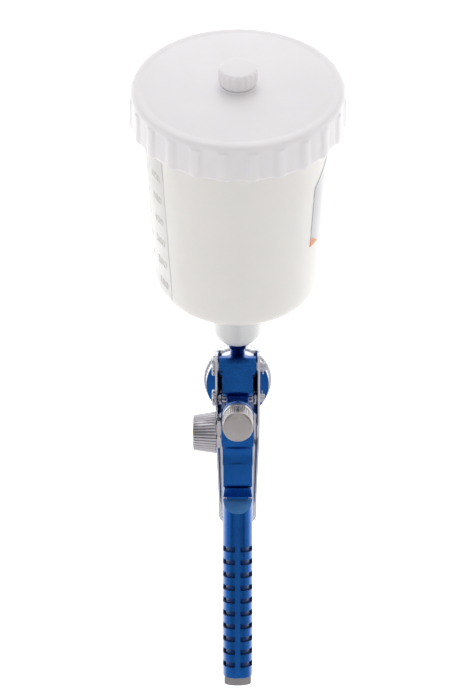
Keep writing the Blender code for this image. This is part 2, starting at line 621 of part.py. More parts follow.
def trigger_pieces(parts, cutters, chrome, steel):
    outside = TRIGGER_OUTER + GAP
    pin("trigger_pivot_pin", PIVOT, [
        (0.0, 17.4 * MM), (2.75 * MM, 17.4 * MM), (2.75 * MM, 15.9 * MM), (2.2 * MM, 15.9 * MM),
        (2.2 * MM, 14.6 * MM), (3.0 * MM, 14.6 * MM), (3.0 * MM, -outside), (5.4 * MM, -outside),
        (5.4 * MM, -15.0 * MM), (4.8 * MM, -15.5 * MM), (0.0, -15.5 * MM)], parts, chrome)
    pin("trigger_pivot_clip", PIVOT, [
        (4.6 * MM, 15.6 * MM), (4.6 * MM, 14.9 * MM), (2.5 * MM, 14.9 * MM), (2.5 * MM, 15.6 * MM)],
        parts, steel)
    cross = pin("trigger_needle_pin", NEEDLE_PIN, [
        (0.0, 16.4 * MM), (2.3 * MM, 16.4 * MM), (2.3 * MM, 15.4 * MM), (1.8 * MM, 15.4 * MM),
        (1.8 * MM, 14.3 * MM), (2.5 * MM, 14.3 * MM), (2.5 * MM, 5.0 * MM), (4.0 * MM, 5.0 * MM),
        (4.0 * MM, -5.0 * MM), (2.5 * MM, -5.0 * MM), (2.5 * MM, -outside), (5.1 * MM, -outside),
        (5.1 * MM, -15.0 * MM), (4.5 * MM, -15.5 * MM), (0.0, -15.5 * MM)], parts, steel)
    eye = box("needle_eye", (-1.9 * MM, -30 * MM, -3.2 * MM), (1.9 * MM, -10 * MM, 3.2 * MM),
              Matrix(), cutters)
    combine(cross, eye, "DIFFERENCE")
    for name, side in (("needle_pin_washer_left", -1), ("needle_pin_washer_right", 1)):
        inner = 9.4 * MM
        outer = TRIGGER_INNER - GAP
        low = min(side * inner, side * outer)
        high = max(side * inner, side * outer)
        pin(name, NEEDLE_PIN, [(3.95 * MM, high), (3.95 * MM, low), (2.8 * MM, low), (2.8 * MM, high)],
            parts, steel)
    pin("needle_pin_clip", NEEDLE_PIN, [
        (4.9 * MM, 15.1 * MM), (4.9 * MM, 14.5 * MM), (2.1 * MM, 14.5 * MM), (2.1 * MM, 15.1 * MM)],
        parts, steel)


# ---------------------------------------------------------------- fan valve

def fan_pieces(parts, cutters, chrome, steel, brass, rubber):
    """Pieces on the fan axis: local Z runs out to the left."""
    frame = Matrix.Translation(FAN_AXIS) @ TO_LEFT
    outer = -FAN_KNOB_OUTER
    inner = -FAN_KNOB_INNER
    turned("fan_knob", [
        (3.4 * MM, outer - 0.6 * MM), (4.6 * MM, outer), (9.9 * MM, outer), (10.5 * MM, outer - 0.7 * MM),
        (12.4 * MM, inner + 0.5 * MM), (12.0 * MM, inner), (6.2 * MM, inner), (6.2 * MM, 19.5 * MM),
        (2.3 * MM, 19.5 * MM), (2.3 * MM, outer - 4 * MM), (3.4 * MM, outer - 4 * MM)],
        frame, parts, chrome, steps=32)
    turned("fan_knob_screw", [
        (0.0, outer + 0.7 * MM), (1.6 * MM, outer + 0.6 * MM), (3.1 * MM, outer - 0.4 * MM),
        (3.1 * MM, outer - 3.0 * MM), (0.0, outer - 3.0 * MM)], frame, parts, brass)
    nut = turned("fan_valve_nut", [
        (2.3 * MM, 16.5 * MM), (4.2 * MM, 16.5 * MM), (4.2 * MM, inner - 0.1 * MM),
        (9.1 * MM, inner - 0.1 * MM), (9.1 * MM, HALF_BOSS + GAP), (4.4 * MM, HALF_BOSS + GAP),
        (4.4 * MM, 2.0 * MM), (2.3 * MM, 2.0 * MM)], frame, parts, steel)
    combine(nut, prism("fan_hexagon", 16.2 * MM, 0.0, 20 * MM, frame, cutters), "INTERSECT")
    turned("fan_valve_stem", [
        (0.0, outer - 3.3 * MM), (2.0 * MM, outer - 3.3 * MM), (2.0 * MM, 1.4 * MM), (3.6 * MM, 1.4 * MM),
        (3.6 * MM, -0.4 * MM), (1.2 * MM, -3.4 * MM), (0.0, -3.4 * MM)], frame, parts, steel, steps=20)
    turned("fan_valve_seal", [
        (3.6 * MM, 17.6 * MM), (3.6 * MM, 16.8 * MM), (2.3 * MM, 16.8 * MM), (2.3 * MM, 17.6 * MM)],
        frame, parts, rubber, steps=20)


# ---------------------------------------------------------------- air valve

def valve_pieces(parts, cutters, steel, brass, plastic, rubber):
    frame = Matrix.Translation((0, 0, VALVE_Z)) @ FORWARD
    nut = turned("air_valve_packing_nut", [
        (5.9 * MM, -24.0 * MM), (5.9 * MM, VALVE_BLOCK_FRONT + GAP), (4.8 * MM, VALVE_BLOCK_FRONT + GAP),
        (4.8 * MM, -32.8 * MM), (1.75 * MM, -32.8 * MM), (1.75 * MM, -24.0 * MM)], frame, parts, brass)
    combine(nut, prism("valve_hexagon", 10.4 * MM, -40 * MM, -20 * MM, frame, cutters), "INTERSECT")
    turned("air_valve_packing", [
        (4.7 * MM, -33.1 * MM), (4.7 * MM, -34.4 * MM), (1.7 * MM, -34.4 * MM), (1.7 * MM, -33.1 * MM)],
        frame, parts, plastic, steps=20)
    turned("air_valve_seat", [
        (4.8 * MM, -38.6 * MM), (4.8 * MM, -41.6 * MM), (2.4 * MM, -41.6 * MM), (2.4 * MM, -38.6 * MM)],
        frame, parts, brass, steps=20)
    turned("air_valve_stem", [
        (0.0, -7.0 * MM), (1.8 * MM, -7.6 * MM), (2.1 * MM, -8.9 * MM), (1.5 * MM, -9.8 * MM),
        (1.5 * MM, -46.4 * MM), (0.0, -46.4 * MM)], frame, parts, steel, steps=16)
    turned("air_valve_disc", [
        (3.6 * MM, -41.9 * MM), (3.6 * MM, -44.2 * MM), (1.7 * MM, -44.2 * MM), (1.7 * MM, -41.9 * MM)],
        frame, parts, rubber, steps=20)


# ---------------------------------------------------------------- inlet

def inlet_pieces(parts, cutters, steel, rubber):
    inlet = turned("air_inlet", [
        (6.0 * MM, 10.0 * MM), (6.0 * MM, 0.2 * MM - GAP), (9.3 * MM, 0.2 * MM - GAP),
        (9.3 * MM, 1.2 * MM - INLET_HEIGHT), (8.1 * MM, -INLET_HEIGHT), (5.3 * MM, -INLET_HEIGHT),
        (5.3 * MM, 5.0 * MM), (3.6 * MM, 6.5 * MM), (3.6 * MM, 10.0 * MM)], GRIP, parts, steel)
    hexagon = prism("inlet_hexagon", INLET_FLATS, -10 * MM, 20 * MM, GRIP, cutters)
    combine(inlet, hexagon, "INTERSECT")
    turned("inlet_gasket", [
        (5.9 * MM, 11.5 * MM), (5.9 * MM, 10.4 * MM), (3.8 * MM, 10.4 * MM), (3.8 * MM, 11.5 * MM)],
        GRIP, parts, rubber)


# ---------------------------------------------------------------- cup and lid

def cup_pieces(parts, cup_plastic, white_plastic, mesh_plastic, label_film):
    lean = (CUP_TOP_RADIUS - CUP_BOTTOM_RADIUS) / (CUP_RIM - CUP_FLOOR)
    turned("paint_cup", [
        (CUP_TOP_RADIUS - CUP_WALL, CUP_RIM), (CUP_TOP_RADIUS, CUP_RIM),
        (CUP_TOP_RADIUS - lean * 4 * MM, CUP_RIM - 4 * MM), (53.9 * MM, CUP_RIM - 5.5 * MM),
        (53.9 * MM, CUP_RIM - 7 * MM), (CUP_TOP_RADIUS - lean * 9 * MM, CUP_RIM - 8.5 * MM),
        (CUP_BOTTOM_RADIUS + lean * 6 * MM, CUP_FLOOR + 6 * MM),
        (CUP_BOTTOM_RADIUS - 1.7 * MM, CUP_FLOOR + 1.8 * MM),
        (CUP_BOTTOM_RADIUS - 6 * MM, CUP_FLOOR - 0.6 * MM), (11.2 * MM, 74.5 * MM), (10.9 * MM, 73.5 * MM),
        (10.9 * MM, SPIGOT_BOTTOM), (4.6 * MM, SPIGOT_BOTTOM), (4.6 * MM, 74.1 * MM), (9.6 * MM, 76.1 * MM),
        (CUP_BOTTOM_RADIUS - 7.4 * MM, CUP_FLOOR + 1.6 * MM),
        (CUP_BOTTOM_RADIUS - 3.4 * MM, CUP_FLOOR + 3.4 * MM),
        (CUP_BOTTOM_RADIUS - 1.8 * MM, CUP_FLOOR + 7.4 * MM)], PORT, parts, cup_plastic, steps=40)
    turned("cup_collar", [
        (11.2 * MM, COLLAR_TOP), (COLLAR_RADIUS, COLLAR_TOP), (COLLAR_RADIUS, COLLAR_BOTTOM + 8.4 * MM),
        (13.8 * MM, COLLAR_BOTTOM + 4.4 * MM), (12.8 * MM, COLLAR_BOTTOM + 2.7 * MM),
        (11.4 * MM, COLLAR_BOTTOM + 1.3 * MM), (9.9 * MM, COLLAR_BOTTOM + 0.4 * MM),
        (8.4 * MM, COLLAR_BOTTOM), (5.75 * MM, COLLAR_BOTTOM), (5.75 * MM, SPIGOT_BOTTOM - 0.7 * MM),
        (11.2 * MM, SPIGOT_BOTTOM - 0.7 * MM)], PORT, parts, white_plastic, steps=28)
    turned("cup_strainer", [
        (0.0, 98 * MM), (6.0 * MM, 98 * MM), (6.8 * MM, 77.5 * MM), (4.2 * MM, 74.7 * MM),
        (4.2 * MM, 58 * MM), (3.2 * MM, 58 * MM), (3.2 * MM, 75.1 * MM), (5.8 * MM, 78.1 * MM),
        (5.1 * MM, 97 * MM),
        (0.0, 97 * MM)], PORT, parts, mesh_plastic)
    cup_label(parts, label_film, lean)


def cup_label(parts, material, lean):
    """A thin film wrapped part of the way around the cup's right side."""
    def build(bm):
        columns = 8
        grid = []
        for height in (LABEL_BOTTOM, LABEL_TOP):
            radius = CUP_BOTTOM_RADIUS + lean * (height - CUP_FLOOR) + LABEL_GAP
            angles = [LABEL_HALF_ANGLE * (2 * step / columns - 1) for step in range(columns + 1)]
            grid.append([bm.verts.new((radius * math.cos(angle), radius * math.sin(angle), height))
                         for angle in angles])
        for left in range(columns):
            bm.faces.new((grid[0][left], grid[0][left + 1], grid[1][left + 1], grid[1][left]))

    item = mesh_object("cup_label", PORT, parts, material, build)
    film = item.modifiers.new("Film", "SOLIDIFY")
    film.thickness = 0.25 * MM
    film.offset = 1.0


def lid_pieces(parts, cutters, plastic, rubber):
    inner = LID_RADIUS - LID_WALL
    lid = turned("cup_lid", [
        (1.5 * MM, LID_TOP + 6.4 * MM), (6.0 * MM, LID_TOP + 6.4 * MM), (6.0 * MM, LID_TOP + VENT_SEAT),
        (9.6 * MM, LID_TOP + VENT_SEAT), (9.6 * MM, LID_TOP),
        (LID_RADIUS - 2.4 * MM, LID_TOP), (LID_RADIUS - 0.7 * MM, LID_TOP - 0.7 * MM),
        (LID_RADIUS, LID_TOP - 2.4 * MM), (LID_RADIUS + 0.5 * MM, LID_SKIRT_BOTTOM),
        (inner, LID_SKIRT_BOTTOM), (inner, LID_TOP - 3.0 * MM), (1.5 * MM, LID_TOP - 3.0 * MM)],
        PORT, cutters, steps=48)
    for index in range(RIB_COUNT):
        angle = 2 * math.pi * (index + 0.5) / RIB_COUNT
        rib = box(f"rib_{index}", (LID_RADIUS - 0.8 * MM, -2.6 * MM, LID_SKIRT_BOTTOM - 0.6 * MM),
                  (LID_RADIUS + 1.3 * MM, 2.6 * MM, LID_TOP - 3.6 * MM),
                  PORT @ Matrix.Rotation(angle, 4, "Z"), cutters)
        combine(lid, rib, "UNION")
    finish(lid, "cup_lid", parts, cutters, plastic)
    turned("lid_gasket", [
        (inner - 0.5 * MM, LID_TOP - 3.3 * MM), (inner - 0.5 * MM, CUP_RIM + GAP), (47.0 * MM, CUP_RIM + GAP),
        (47.0 * MM, LID_TOP - 3.3 * MM)], PORT, parts, rubber, steps=32)
    cap = turned("vent_cap", [
        (0.0, VENT_TOP), (VENT_RADIUS - 1.0 * MM, VENT_TOP), (VENT_RADIUS, VENT_TOP - 1.0 * MM),
        (VENT_RADIUS, LID_TOP + VENT_RIM + 0.6 * MM), (VENT_RADIUS - 1.4 * MM, LID_TOP + VENT_RIM),
        (VENT_RADIUS - 1.4 * MM, LID_TOP + VENT_SEAT + GAP), (6.4 * MM, LID_TOP + VENT_SEAT + GAP),
        (6.4 * MM, VENT_TOP - 2.4 * MM), (0.0, VENT_TOP - 2.4 * MM)], PORT, parts, plastic, steps=32)
    vent = rod("vent_hole", 0.8 * MM, PORT @ Vector((0, 0, 227 * MM)), PORT @ Vector((0, 14 * MM, 227 * MM)),
               cutters, facets=8)
    combine(cap, vent, "DIFFERENCE")
    turned("vent_disc", [
        (5.8 * MM, VENT_TOP - 3.0 * MM), (5.8 * MM, VENT_TOP - 4.4 * MM), (1.5 * MM, VENT_TOP - 4.4 * MM),
        (1.5 * MM, VENT_TOP - 3.0 * MM)], PORT, parts, rubber)


# ---------------------------------------------------------------- assembly

def main():
    clear_scene()
    parts = new_collection("hvlp_spray_gun")
    cutters = new_collection("cutters")
    blue = metal_or_plastic("blue_anodised_aluminium", (0.01, 0.085, 0.38), 0.3, 0.8)
    chrome = metal_or_plastic("chrome_plate", (0.75, 0.75, 0.77), 0.08, 1.0)
    steel = metal_or_plastic("nickel_steel", (0.42, 0.41, 0.42), 0.3, 1.0)
    brass = metal_or_plastic("brass", (0.68, 0.52, 0.25), 0.3, 1.0)
    cup_plastic = metal_or_plastic("translucent_polypropylene", (0.84, 0.83, 0.81), 0.4, 0.0)
    white = metal_or_plastic("white_polypropylene", (0.86, 0.85, 0.86), 0.35, 0.0)
    nylon = metal_or_plastic("black_nylon", (0.03, 0.03, 0.03), 0.5, 0.0)
    mesh = metal_or_plastic("strainer_nylon", (0.7, 0.72, 0.7), 0.6, 0.0)
    rubber = metal_or_plastic("black_rubber", (0.02, 0.02, 0.02), 0.7, 0.0)
    ptfe = metal_or_plastic("ptfe", (0.8, 0.8, 0.78), 0.5, 0.0)
    film = metal_or_plastic("label_film", (0.75, 0.75, 0.76), 0.3, 0.0)

    gun_body(parts, cutters, blue)
    head_pieces(parts, cutters, steel, chrome, brass, nylon)
    needle_pieces(parts, cutters, steel, brass, ptfe)
    coil("needle_spring", 0.4 * MM, 2.9 * MM, 6, -53.4 * MM, -74.1 * MM, 0.0, parts, steel)
    fluid_knob(parts, steel)
    trigger(parts, cutters, chrome)
    trigger_pieces(parts, cutters, chrome, steel)
    fan_pieces(parts, cutters, chrome, steel, brass, rubber)
    valve_pieces(parts, cutters, steel, brass, ptfe, rubber)
    coil("air_valve_spring", 0.4 * MM, 2.9 * MM, 5, -44.6 * MM, -59.6 * MM, VALVE_Z, parts, steel)
    inlet_pieces(parts, cutters, steel, rubber)
    cup_pieces(parts, cup_plastic, white, mesh, film)
    lid_pieces(parts, cutters, white, rubber)


main()
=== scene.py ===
# %% [markdown]
# # A gravity-feed spray gun, dressed for the studio
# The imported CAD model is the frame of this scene. It says where every piece is and what moves.
# Each visible piece is modelled again here with the detail that the maker's tooling leaves on it,
# or, where its CAD shape is right, it keeps that shape and gets a real finish.
# Lengths are written in millimetres and multiplied by MM, because Blender works in metres.

import math

import bmesh
import bpy
from mathutils import Matrix, Vector


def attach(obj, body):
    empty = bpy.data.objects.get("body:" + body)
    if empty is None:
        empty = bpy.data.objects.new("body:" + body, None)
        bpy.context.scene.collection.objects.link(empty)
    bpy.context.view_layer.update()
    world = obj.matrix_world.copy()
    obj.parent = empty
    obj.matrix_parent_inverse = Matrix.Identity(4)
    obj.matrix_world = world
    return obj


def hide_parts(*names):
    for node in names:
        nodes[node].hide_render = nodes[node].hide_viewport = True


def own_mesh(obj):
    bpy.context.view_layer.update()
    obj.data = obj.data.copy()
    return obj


MM = 0.001
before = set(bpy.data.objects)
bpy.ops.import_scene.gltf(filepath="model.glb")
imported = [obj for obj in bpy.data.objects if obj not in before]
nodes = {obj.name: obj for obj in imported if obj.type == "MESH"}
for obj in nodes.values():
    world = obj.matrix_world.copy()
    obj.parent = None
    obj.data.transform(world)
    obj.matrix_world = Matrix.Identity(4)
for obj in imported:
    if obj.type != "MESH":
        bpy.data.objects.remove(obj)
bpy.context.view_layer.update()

# %% [markdown]
# The gun has three straight lines that everything hangs on: the fluid axis along +Y, the port's axis,
# which leans back over the handle, and the grip's axis. A matrix for each of them turns a piece that was
# drawn standing up, along its own Z, into its place. The needle's axis and the port's meet at the origin.
# The fan valve, the air valve and the trigger's two pins have their own matrices.

# %% Axes of the gun
FORWARD = Matrix.Rotation(-math.pi / 2, 4, "X")
TO_LEFT = Matrix.Rotation(-math.pi / 2, 4, "Y")
TO_RIGHT = Matrix.Rotation(math.pi / 2, 4, "Y")
PORT_LEAN = math.radians(27.5)
GRIP_LEAN = math.radians(11.0)
PORT = Matrix.Rotation(PORT_LEAN, 4, "X")
GRIP_FOOT = Vector((0.0, -76.9 * MM, -154.5 * MM))
GRIP = Matrix.Translation(GRIP_FOOT) @ Matrix.Rotation(-GRIP_LEAN, 4, "X")
FAN = Matrix.Translation((0.0, -52.0 * MM, -12.4 * MM)) @ TO_LEFT
VALVE = Matrix.Translation((0.0, 0.0, -36.0 * MM)) @ FORWARD
PIVOT = Matrix.Translation((0, -20 * MM, 19.5 * MM)) @ TO_RIGHT
CROSS_PIN = Matrix.Translation((0, -20 * MM, 0)) @ TO_RIGHT
IDENTITY = Matrix()
print("port axis:", [round(v, 3) for v in PORT.to_3x3() @ Vector((0, 0, 1))])

# %% [markdown]
# ## Finishes
# Every finish starts as a Principled shader. One helper adds a node with its settings and links, and one
# turns the sRGB hex value of a paint card into the linear numbers that the shader wants. Nearly every real
# surface then needs the same three things: a noise of a known size, a colour and a roughness that follow it,
# and a little relief. Each of those is a helper too.

# %% Helpers for materials
def linear(code):
    """The linear RGBA of an sRGB hex colour such as "1B50A5"."""
    channels = [int(code[place:place + 2], 16) / 255 for place in (0, 2, 4)]
    return (*[c / 12.92 if c <= 0.04045 else ((c + 0.055) / 1.055) ** 2.4 for c in channels], 1.0)


def add_node(tree, kind, inputs=None, **settings):
    """A new node in tree. inputs are socket names with a value or with the output that feeds them."""
    node = tree.nodes.new(kind)
    for key, value in settings.items():
        setattr(node, key, value)
    for key, value in (inputs or {}).items():
        if isinstance(value, bpy.types.NodeSocket):
            tree.links.new(value, node.inputs[key])
        else:
            node.inputs[key].default_value = value
    return node


def new_material(name, **constants):
    """An empty Principled material: its tree, its shader and the piece's own coordinates."""
    material = bpy.data.materials.new(name)
    material.use_nodes = True
    tree = material.node_tree
    tree.nodes.clear()
    shader = add_node(tree, "ShaderNodeBsdfPrincipled")
    for key, value in constants.items():
        shader.inputs[key.replace("_", " ")].default_value = value
    add_node(tree, "ShaderNodeOutputMaterial", {"Surface": shader.outputs["BSDF"]})
    place = add_node(tree, "ShaderNodeTexCoord").outputs["Object"]
    return material, tree, shader, place


def noise(tree, place, size, detail):
    """A noise whose cells are about size mm across."""
    return add_node(tree, "ShaderNodeTexNoise", {"Vector": place, "Scale": 1 / (size * MM),
                                                 "Detail": detail}).outputs["Fac"]


def blend(tree, share, first, second):
    """A colour that goes from first to second. Each is a hex code or the output of another node."""
    colours = [linear(end) if isinstance(end, str) else end for end in (first, second)]
    return add_node(tree, "ShaderNodeMix", {"Factor": share, "A": colours[0], "B": colours[1]},
                    data_type="RGBA").outputs["Result"]


def patina(tree, shader, stain, colours, roughness, worn=None):
    """Let stain lead the base colour between two hex codes, and worn (or stain) the roughness."""
    rough = add_node(tree, "ShaderNodeMapRange", {"Value": stain if worn is None else worn,
                                                  "To Min": roughness[0], "To Max": roughness[1]})
    tree.links.new(blend(tree, stain, *colours), shader.inputs["Base Color"])
    tree.links.new(rough.outputs["Result"], shader.inputs["Roughness"])


def relief(tree, shader, height, strength, depth):
    """Let height bump the surface, depth mm deep at full strength."""
    bump = add_node(tree, "ShaderNodeBump", {"Height": height, "Strength": strength, "Distance": depth * MM})
    tree.links.new(bump.outputs["Normal"], shader.inputs["Normal"])


print("helpers for finishes:", [maker.__name__ for maker in (noise, blend, patina, relief)])

# %% [markdown]
# **Anodised aluminium.** The body is forged, tumbled and bead-blasted, then dyed blue in the anodising bath.
# The dye sits in a clear oxide, so the metal below still gives the highlight, and the blasting leaves a
# fine grain of about 0.25 mm that breaks it up. A metallic shader with a blue base does this; a coat on
# top would look like lacquer. The dye takes a little unevenly, so the base varies slowly over 12 mm.

# %% Blue anodised aluminium
anodised, tree, shader, place = new_material("blue_anodised_aluminium_blasted", Metallic=1.0)
grain = noise(tree, place, 0.5, 2.0)
patina(tree, shader, noise(tree, place, 12.0, 3.0), ("17488A", "1F5AA2"), (0.20, 0.34), worn=grain)
relief(tree, shader, grain, 0.12, 0.05)
print("finish:", anodised.name)

# %% [markdown]
# The floors of the grip's slots get a rougher blue that is painted nearly navy: painted shade, for the shade
# that falls in the recesses. The sloping shoulder at the grip's top gets a pale blue: a painted highlight,
# where it catches the top light.

# %% Painted shade in the slots, painted highlight on the shoulder
# Painted shade: the slot floors are painted nearly navy, for the shade in the recesses.
slot_painted_shade, tree, shader, place = new_material("blue_anodised_aluminium_painted_slot_shade", Metallic=0.85)
patina(tree, shader, noise(tree, place, 1.5, 3.0), ("0C2A5A", "143A74"), (0.45, 0.60))
# Painted highlight: the shoulder facet is painted pale blue, for the top light that it catches.
shoulder_painted_highlight, tree, shader, place = new_material("blue_anodised_aluminium_painted_shoulder_highlight", Metallic=0.85)
patina(tree, shader, noise(tree, place, 2.5, 3.0), ("4B8CCB", "6AA6DA"), (0.40, 0.55))
print("finishes:", slot_painted_shade.name, shoulder_painted_highlight.name)

# %% [markdown]
# **Chrome plate.** The ring and the trigger are polished steel under bright chrome. It mirrors the room, a
# little blue against steel. The buffing wheel leaves a barely visible wave about 8 mm long and a haze of
# hairlines, which is what stops it from looking like a computer's mirror.

# %% Chrome plate
chrome, tree, shader, place = new_material("bright_chrome_plate_buffed", Metallic=1.0)
patina(tree, shader, noise(tree, place, 1.5, 4.0), ("B4B5BE", "CCCDD4"), (0.05, 0.13))
relief(tree, shader, noise(tree, place, 8.0, 1.0), 0.10, 0.10)
print("finish:", chrome.name)

# %% [markdown]
# **Turned, nickel-plated metal.** The knobs, pins and the inlet come off a lathe. The tool leaves rings round
# the axis, about 0.7 mm apart, that a thin nickel plate doesn't hide. Each axis needs its own rings, so
# one function makes the finish for a matrix: it turns the coordinates into the piece's own and feeds the
# distance from the axis into a wave.

# %% Turned metals
RING_PITCH = 0.7037
WAVE_REPEAT = 2 * math.pi / 20


def turned_metal(name, light, dark, matrix, low, high):
    """A lathe-turned metal whose tool rings lie round the local Z of matrix."""
    material, tree, shader, place = new_material(name, Metallic=1.0)
    back = matrix.inverted()
    local = add_node(tree, "ShaderNodeMapping", {"Vector": place, "Location": back.to_translation(),
                                                 "Rotation": back.to_euler()})
    rings = add_node(tree, "ShaderNodeTexWave", {"Vector": local.outputs["Vector"],
                                                 "Scale": WAVE_REPEAT / (RING_PITCH * MM), "Distortion": 0.6,
                                                 "Detail": 2.0, "Detail Scale": 3.0},
                     wave_type="RINGS", rings_direction="Z")
    patina(tree, shader, noise(tree, place, 5.0, 4.0), (dark, light), (low, high))
    relief(tree, shader, rings.outputs["Fac"], 0.18, 0.05)
    return material


nickel = turned_metal("nickel_plated_steel_turned", "B4AFAE", "9C9796", FORWARD, 0.20, 0.32)
nickel_fan = turned_metal("nickel_plated_steel_turned_fan", "C4C1C6", "AFACB2", FAN, 0.14, 0.24)
nickel_inlet = turned_metal("nickel_plated_brass_inlet", "A09C9F", "858184", GRIP, 0.20, 0.32)
stainless = turned_metal("stainless_steel_turned", "C2C0BE", "A9A7A5", FORWARD, 0.18, 0.30)
brass = turned_metal("brass_turned", "D9B45E", "C39A45", FORWARD, 0.18, 0.32)
brass_fan = turned_metal("brass_turned_fan", "DDB863", "C59C48", FAN, 0.16, 0.28)
brass_valve = turned_metal("brass_turned_valve", "D9B45E", "C39A45", VALVE, 0.20, 0.34)
print("turned metals:", [m.name for m in bpy.data.materials if "turned" in m.name])

# %% [markdown]
# **Spring wire and cross pins.** Hard-drawn steel, drawn through a die and left bright. Along the wire it has
# fine draw lines; at this size a noise stretched along X is enough to dull the mirror.

# %% Drawn steel
wire, tree, shader, place = new_material("spring_steel_drawn", Metallic=1.0)
along = add_node(tree, "ShaderNodeMapping", {"Vector": place, "Scale": (0.15, 1.0, 1.0)})
patina(tree, shader, noise(tree, along.outputs["Vector"], 0.4, 3.0), ("A8A7AC", "C9C8CE"), (0.15, 0.30))
print("finish:", wire.name)

# %% [markdown]
# **Moulded plastics.** The lid and the vent cap are white polypropylene from a polished mould: waxy, a little
# translucent, with slow flow marks. The collar is harder, glossier acetal. The cup is polypropylene without
# the white pigment, so it is warmer and lets more light into the wall. Light that enters and leaves again a
# few millimetres away is subsurface scattering; it softens the shading without making the wall clear.

# %% Moulded plastics
def moulded(name, light, dark, roughness, depth, weight, flow=30.0):
    """A moulded plastic with slow flow marks and a waxy skin."""
    material, tree, shader, place = new_material(
        name, IOR=1.49, Subsurface_Weight=weight, Subsurface_Scale=depth * MM,
        Subsurface_Radius=(1.0, 0.85, 0.75))
    patina(tree, shader, noise(tree, place, flow, 3.0), (dark, light), (roughness - 0.05, roughness + 0.07))
    relief(tree, shader, noise(tree, place, 1.2, 2.0), 0.06, 0.05)
    return material


lid_white = moulded("white_polypropylene_moulded", "EFECEE", "E7E4E6", 0.32, 3.0, 0.25)
collar_white = moulded("white_acetal_moulded", "E4E3E4", "DCDBDC", 0.16, 2.0, 0.15)
cup_natural = moulded("natural_polypropylene_moulded", "F6F0EB", "F0EAE4", 0.30, 6.0, 0.45, 45.0)
seal_white = moulded("white_ptfe_machined", "EDEDE8", "E2E2DC", 0.45, 1.0, 0.2, 6.0)
strainer_nylon = moulded("strainer_nylon_moulded", "DAD9D2", "CBCAC2", 0.45, 1.0, 0.2, 6.0)
print("plastics:", [m.name for m in bpy.data.materials if "moulded" in m.name])

# %% [markdown]
# **Nitrile rubber** for the gaskets: black, dull, with the fine bloom that rubber gets as it ages.

# %% Nitrile rubber
rubber, tree, shader, place = new_material("nitrile_rubber_moulded", IOR=1.52)
patina(tree, shader, noise(tree, place, 2.0, 5.0), ("1C1C1D", "2E2E30"), (0.55, 0.8))
print("finish:", rubber.name)

# %% [markdown]
# ## Shaping tools
# Most of the gun comes off a lathe or out of a two-part die. So there are two ways to start a piece: spin an
# outline round the local Z, or push an outline across the gun into a slab. Both then get their edges
# bevelled, because no real edge is sharp and the bevel is what catches the light. A last helper hangs the
# finished mesh on its moving body.

# %% Helpers for shapes
def bevel_edges(bm, edges, width, segments=3):
    """Round these edges of bm by width, in mm."""
    bmesh.ops.bevel(bm, geom=edges, offset=width * MM, offset_type="OFFSET", segments=segments, profile=0.5,
                    affect="EDGES", material=-1, clamp_overlap=True)


def sharp_edges(bm, degrees=28.0):
    """The edges whose two faces meet at more than this angle."""
    limit = math.radians(degrees)
    return [edge for edge in bm.edges if edge.is_manifold and edge.calc_face_angle() > limit]


def spun(outline, steps, rounding=0.0, closed=True):
    """A turned solid along Z. outline is (radius, height) in mm, with its ends on the axis or closed."""
    bm = bmesh.new()
    ring = [bm.verts.new((radius * MM, 0.0, height * MM)) for radius, height in outline]
    pairs = list(zip(ring, ring[1:])) + ([(ring[-1], ring[0])] if closed else [])
    for pair in pairs:
        bm.edges.new(pair)
    bmesh.ops.spin(bm, geom=bm.verts[:] + bm.edges[:], cent=(0, 0, 0), axis=(0, 0, 1), angle=2 * math.pi,
                   steps=steps, use_merge=True)
    bmesh.ops.remove_doubles(bm, verts=bm.verts, dist=0.001 * MM)
    bmesh.ops.dissolve_degenerate(bm, edges=bm.edges, dist=0.0005 * MM)
    bmesh.ops.recalc_face_normals(bm, faces=bm.faces)
    if rounding:
        bevel_edges(bm, sharp_edges(bm), rounding, 2)
    return bm


def corners(geometry):
    """The vertices among what an extrusion made."""
    return [item for item in geometry if isinstance(item, bmesh.types.BMVert)]


def slab(outline, half, corner=0.0, rim=0.6):
    """A plate across the gun. outline is (y, z) in mm, half its half width; corner rounds the outline."""
    bm = bmesh.new()
    face = bm.faces.new([bm.verts.new((-half * MM, y * MM, z * MM)) for y, z in outline])
    pushed = bmesh.ops.extrude_face_region(bm, geom=[face])["geom"]
    bmesh.ops.translate(bm, verts=corners(pushed), vec=(2 * half * MM, 0, 0))
    bmesh.ops.recalc_face_normals(bm, faces=bm.faces)
    if corner:
        across = [e for e in bm.edges if abs(e.verts[0].co.x - e.verts[1].co.x) > half * MM]
        bevel_edges(bm, across, corner, 5)
    if rim:
        bevel_edges(bm, sharp_edges(bm, 40.0), rim, 3)
    return bm


def to_object(name, bm):
    """A loose object from bm, which is used up."""
    mesh = bpy.data.meshes.new(name)
    bm.to_mesh(mesh)
    bm.free()
    made = bpy.data.objects.new(name, mesh)
    bpy.context.scene.collection.objects.link(made)
    return made


def carve(target, others, operation):
    """Join others to target, or cut them out of it, and keep only the result."""
    for other in others:
        change = target.modifiers.new(other.name, "BOOLEAN")
        change.operation = operation
        change.solver = "MANIFOLD"
        change.object = other
    bpy.context.view_layer.update()
    depsgraph = bpy.context.evaluated_depsgraph_get()
    result = bpy.data.meshes.new_from_object(target.evaluated_get(depsgraph))
    target.modifiers.clear()
    target.data = result
    for other in others:
        bpy.data.objects.remove(other, do_unlink=True)
    return target


def finish_piece(piece, body, material, *replaced, angle=32.0):
    """Shade a piece, paint it, hang it on a body and let it stand for its CAD nodes."""
    piece.data.shade_smooth()
    piece.data.set_sharp_from_angle(angle=math.radians(angle))
    piece.data.materials.clear()
    piece.data.materials.append(material)
    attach(piece, body)
    if replaced:
        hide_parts(*replaced)
    print(f"{piece.name}: {len(piece.data.polygons)} faces on {body}")
    return piece


def new_piece(name, bm, matrix, body, material, *replaced, angle=32.0):
    """A finished piece straight from a bmesh that was drawn along its own Z."""
    bm.transform(matrix)
    return finish_piece(to_object(name, bm), body, material, *replaced, angle=angle)


print("helpers for shapes:", [maker.__name__ for maker in (spun, slab, carve, new_piece)])

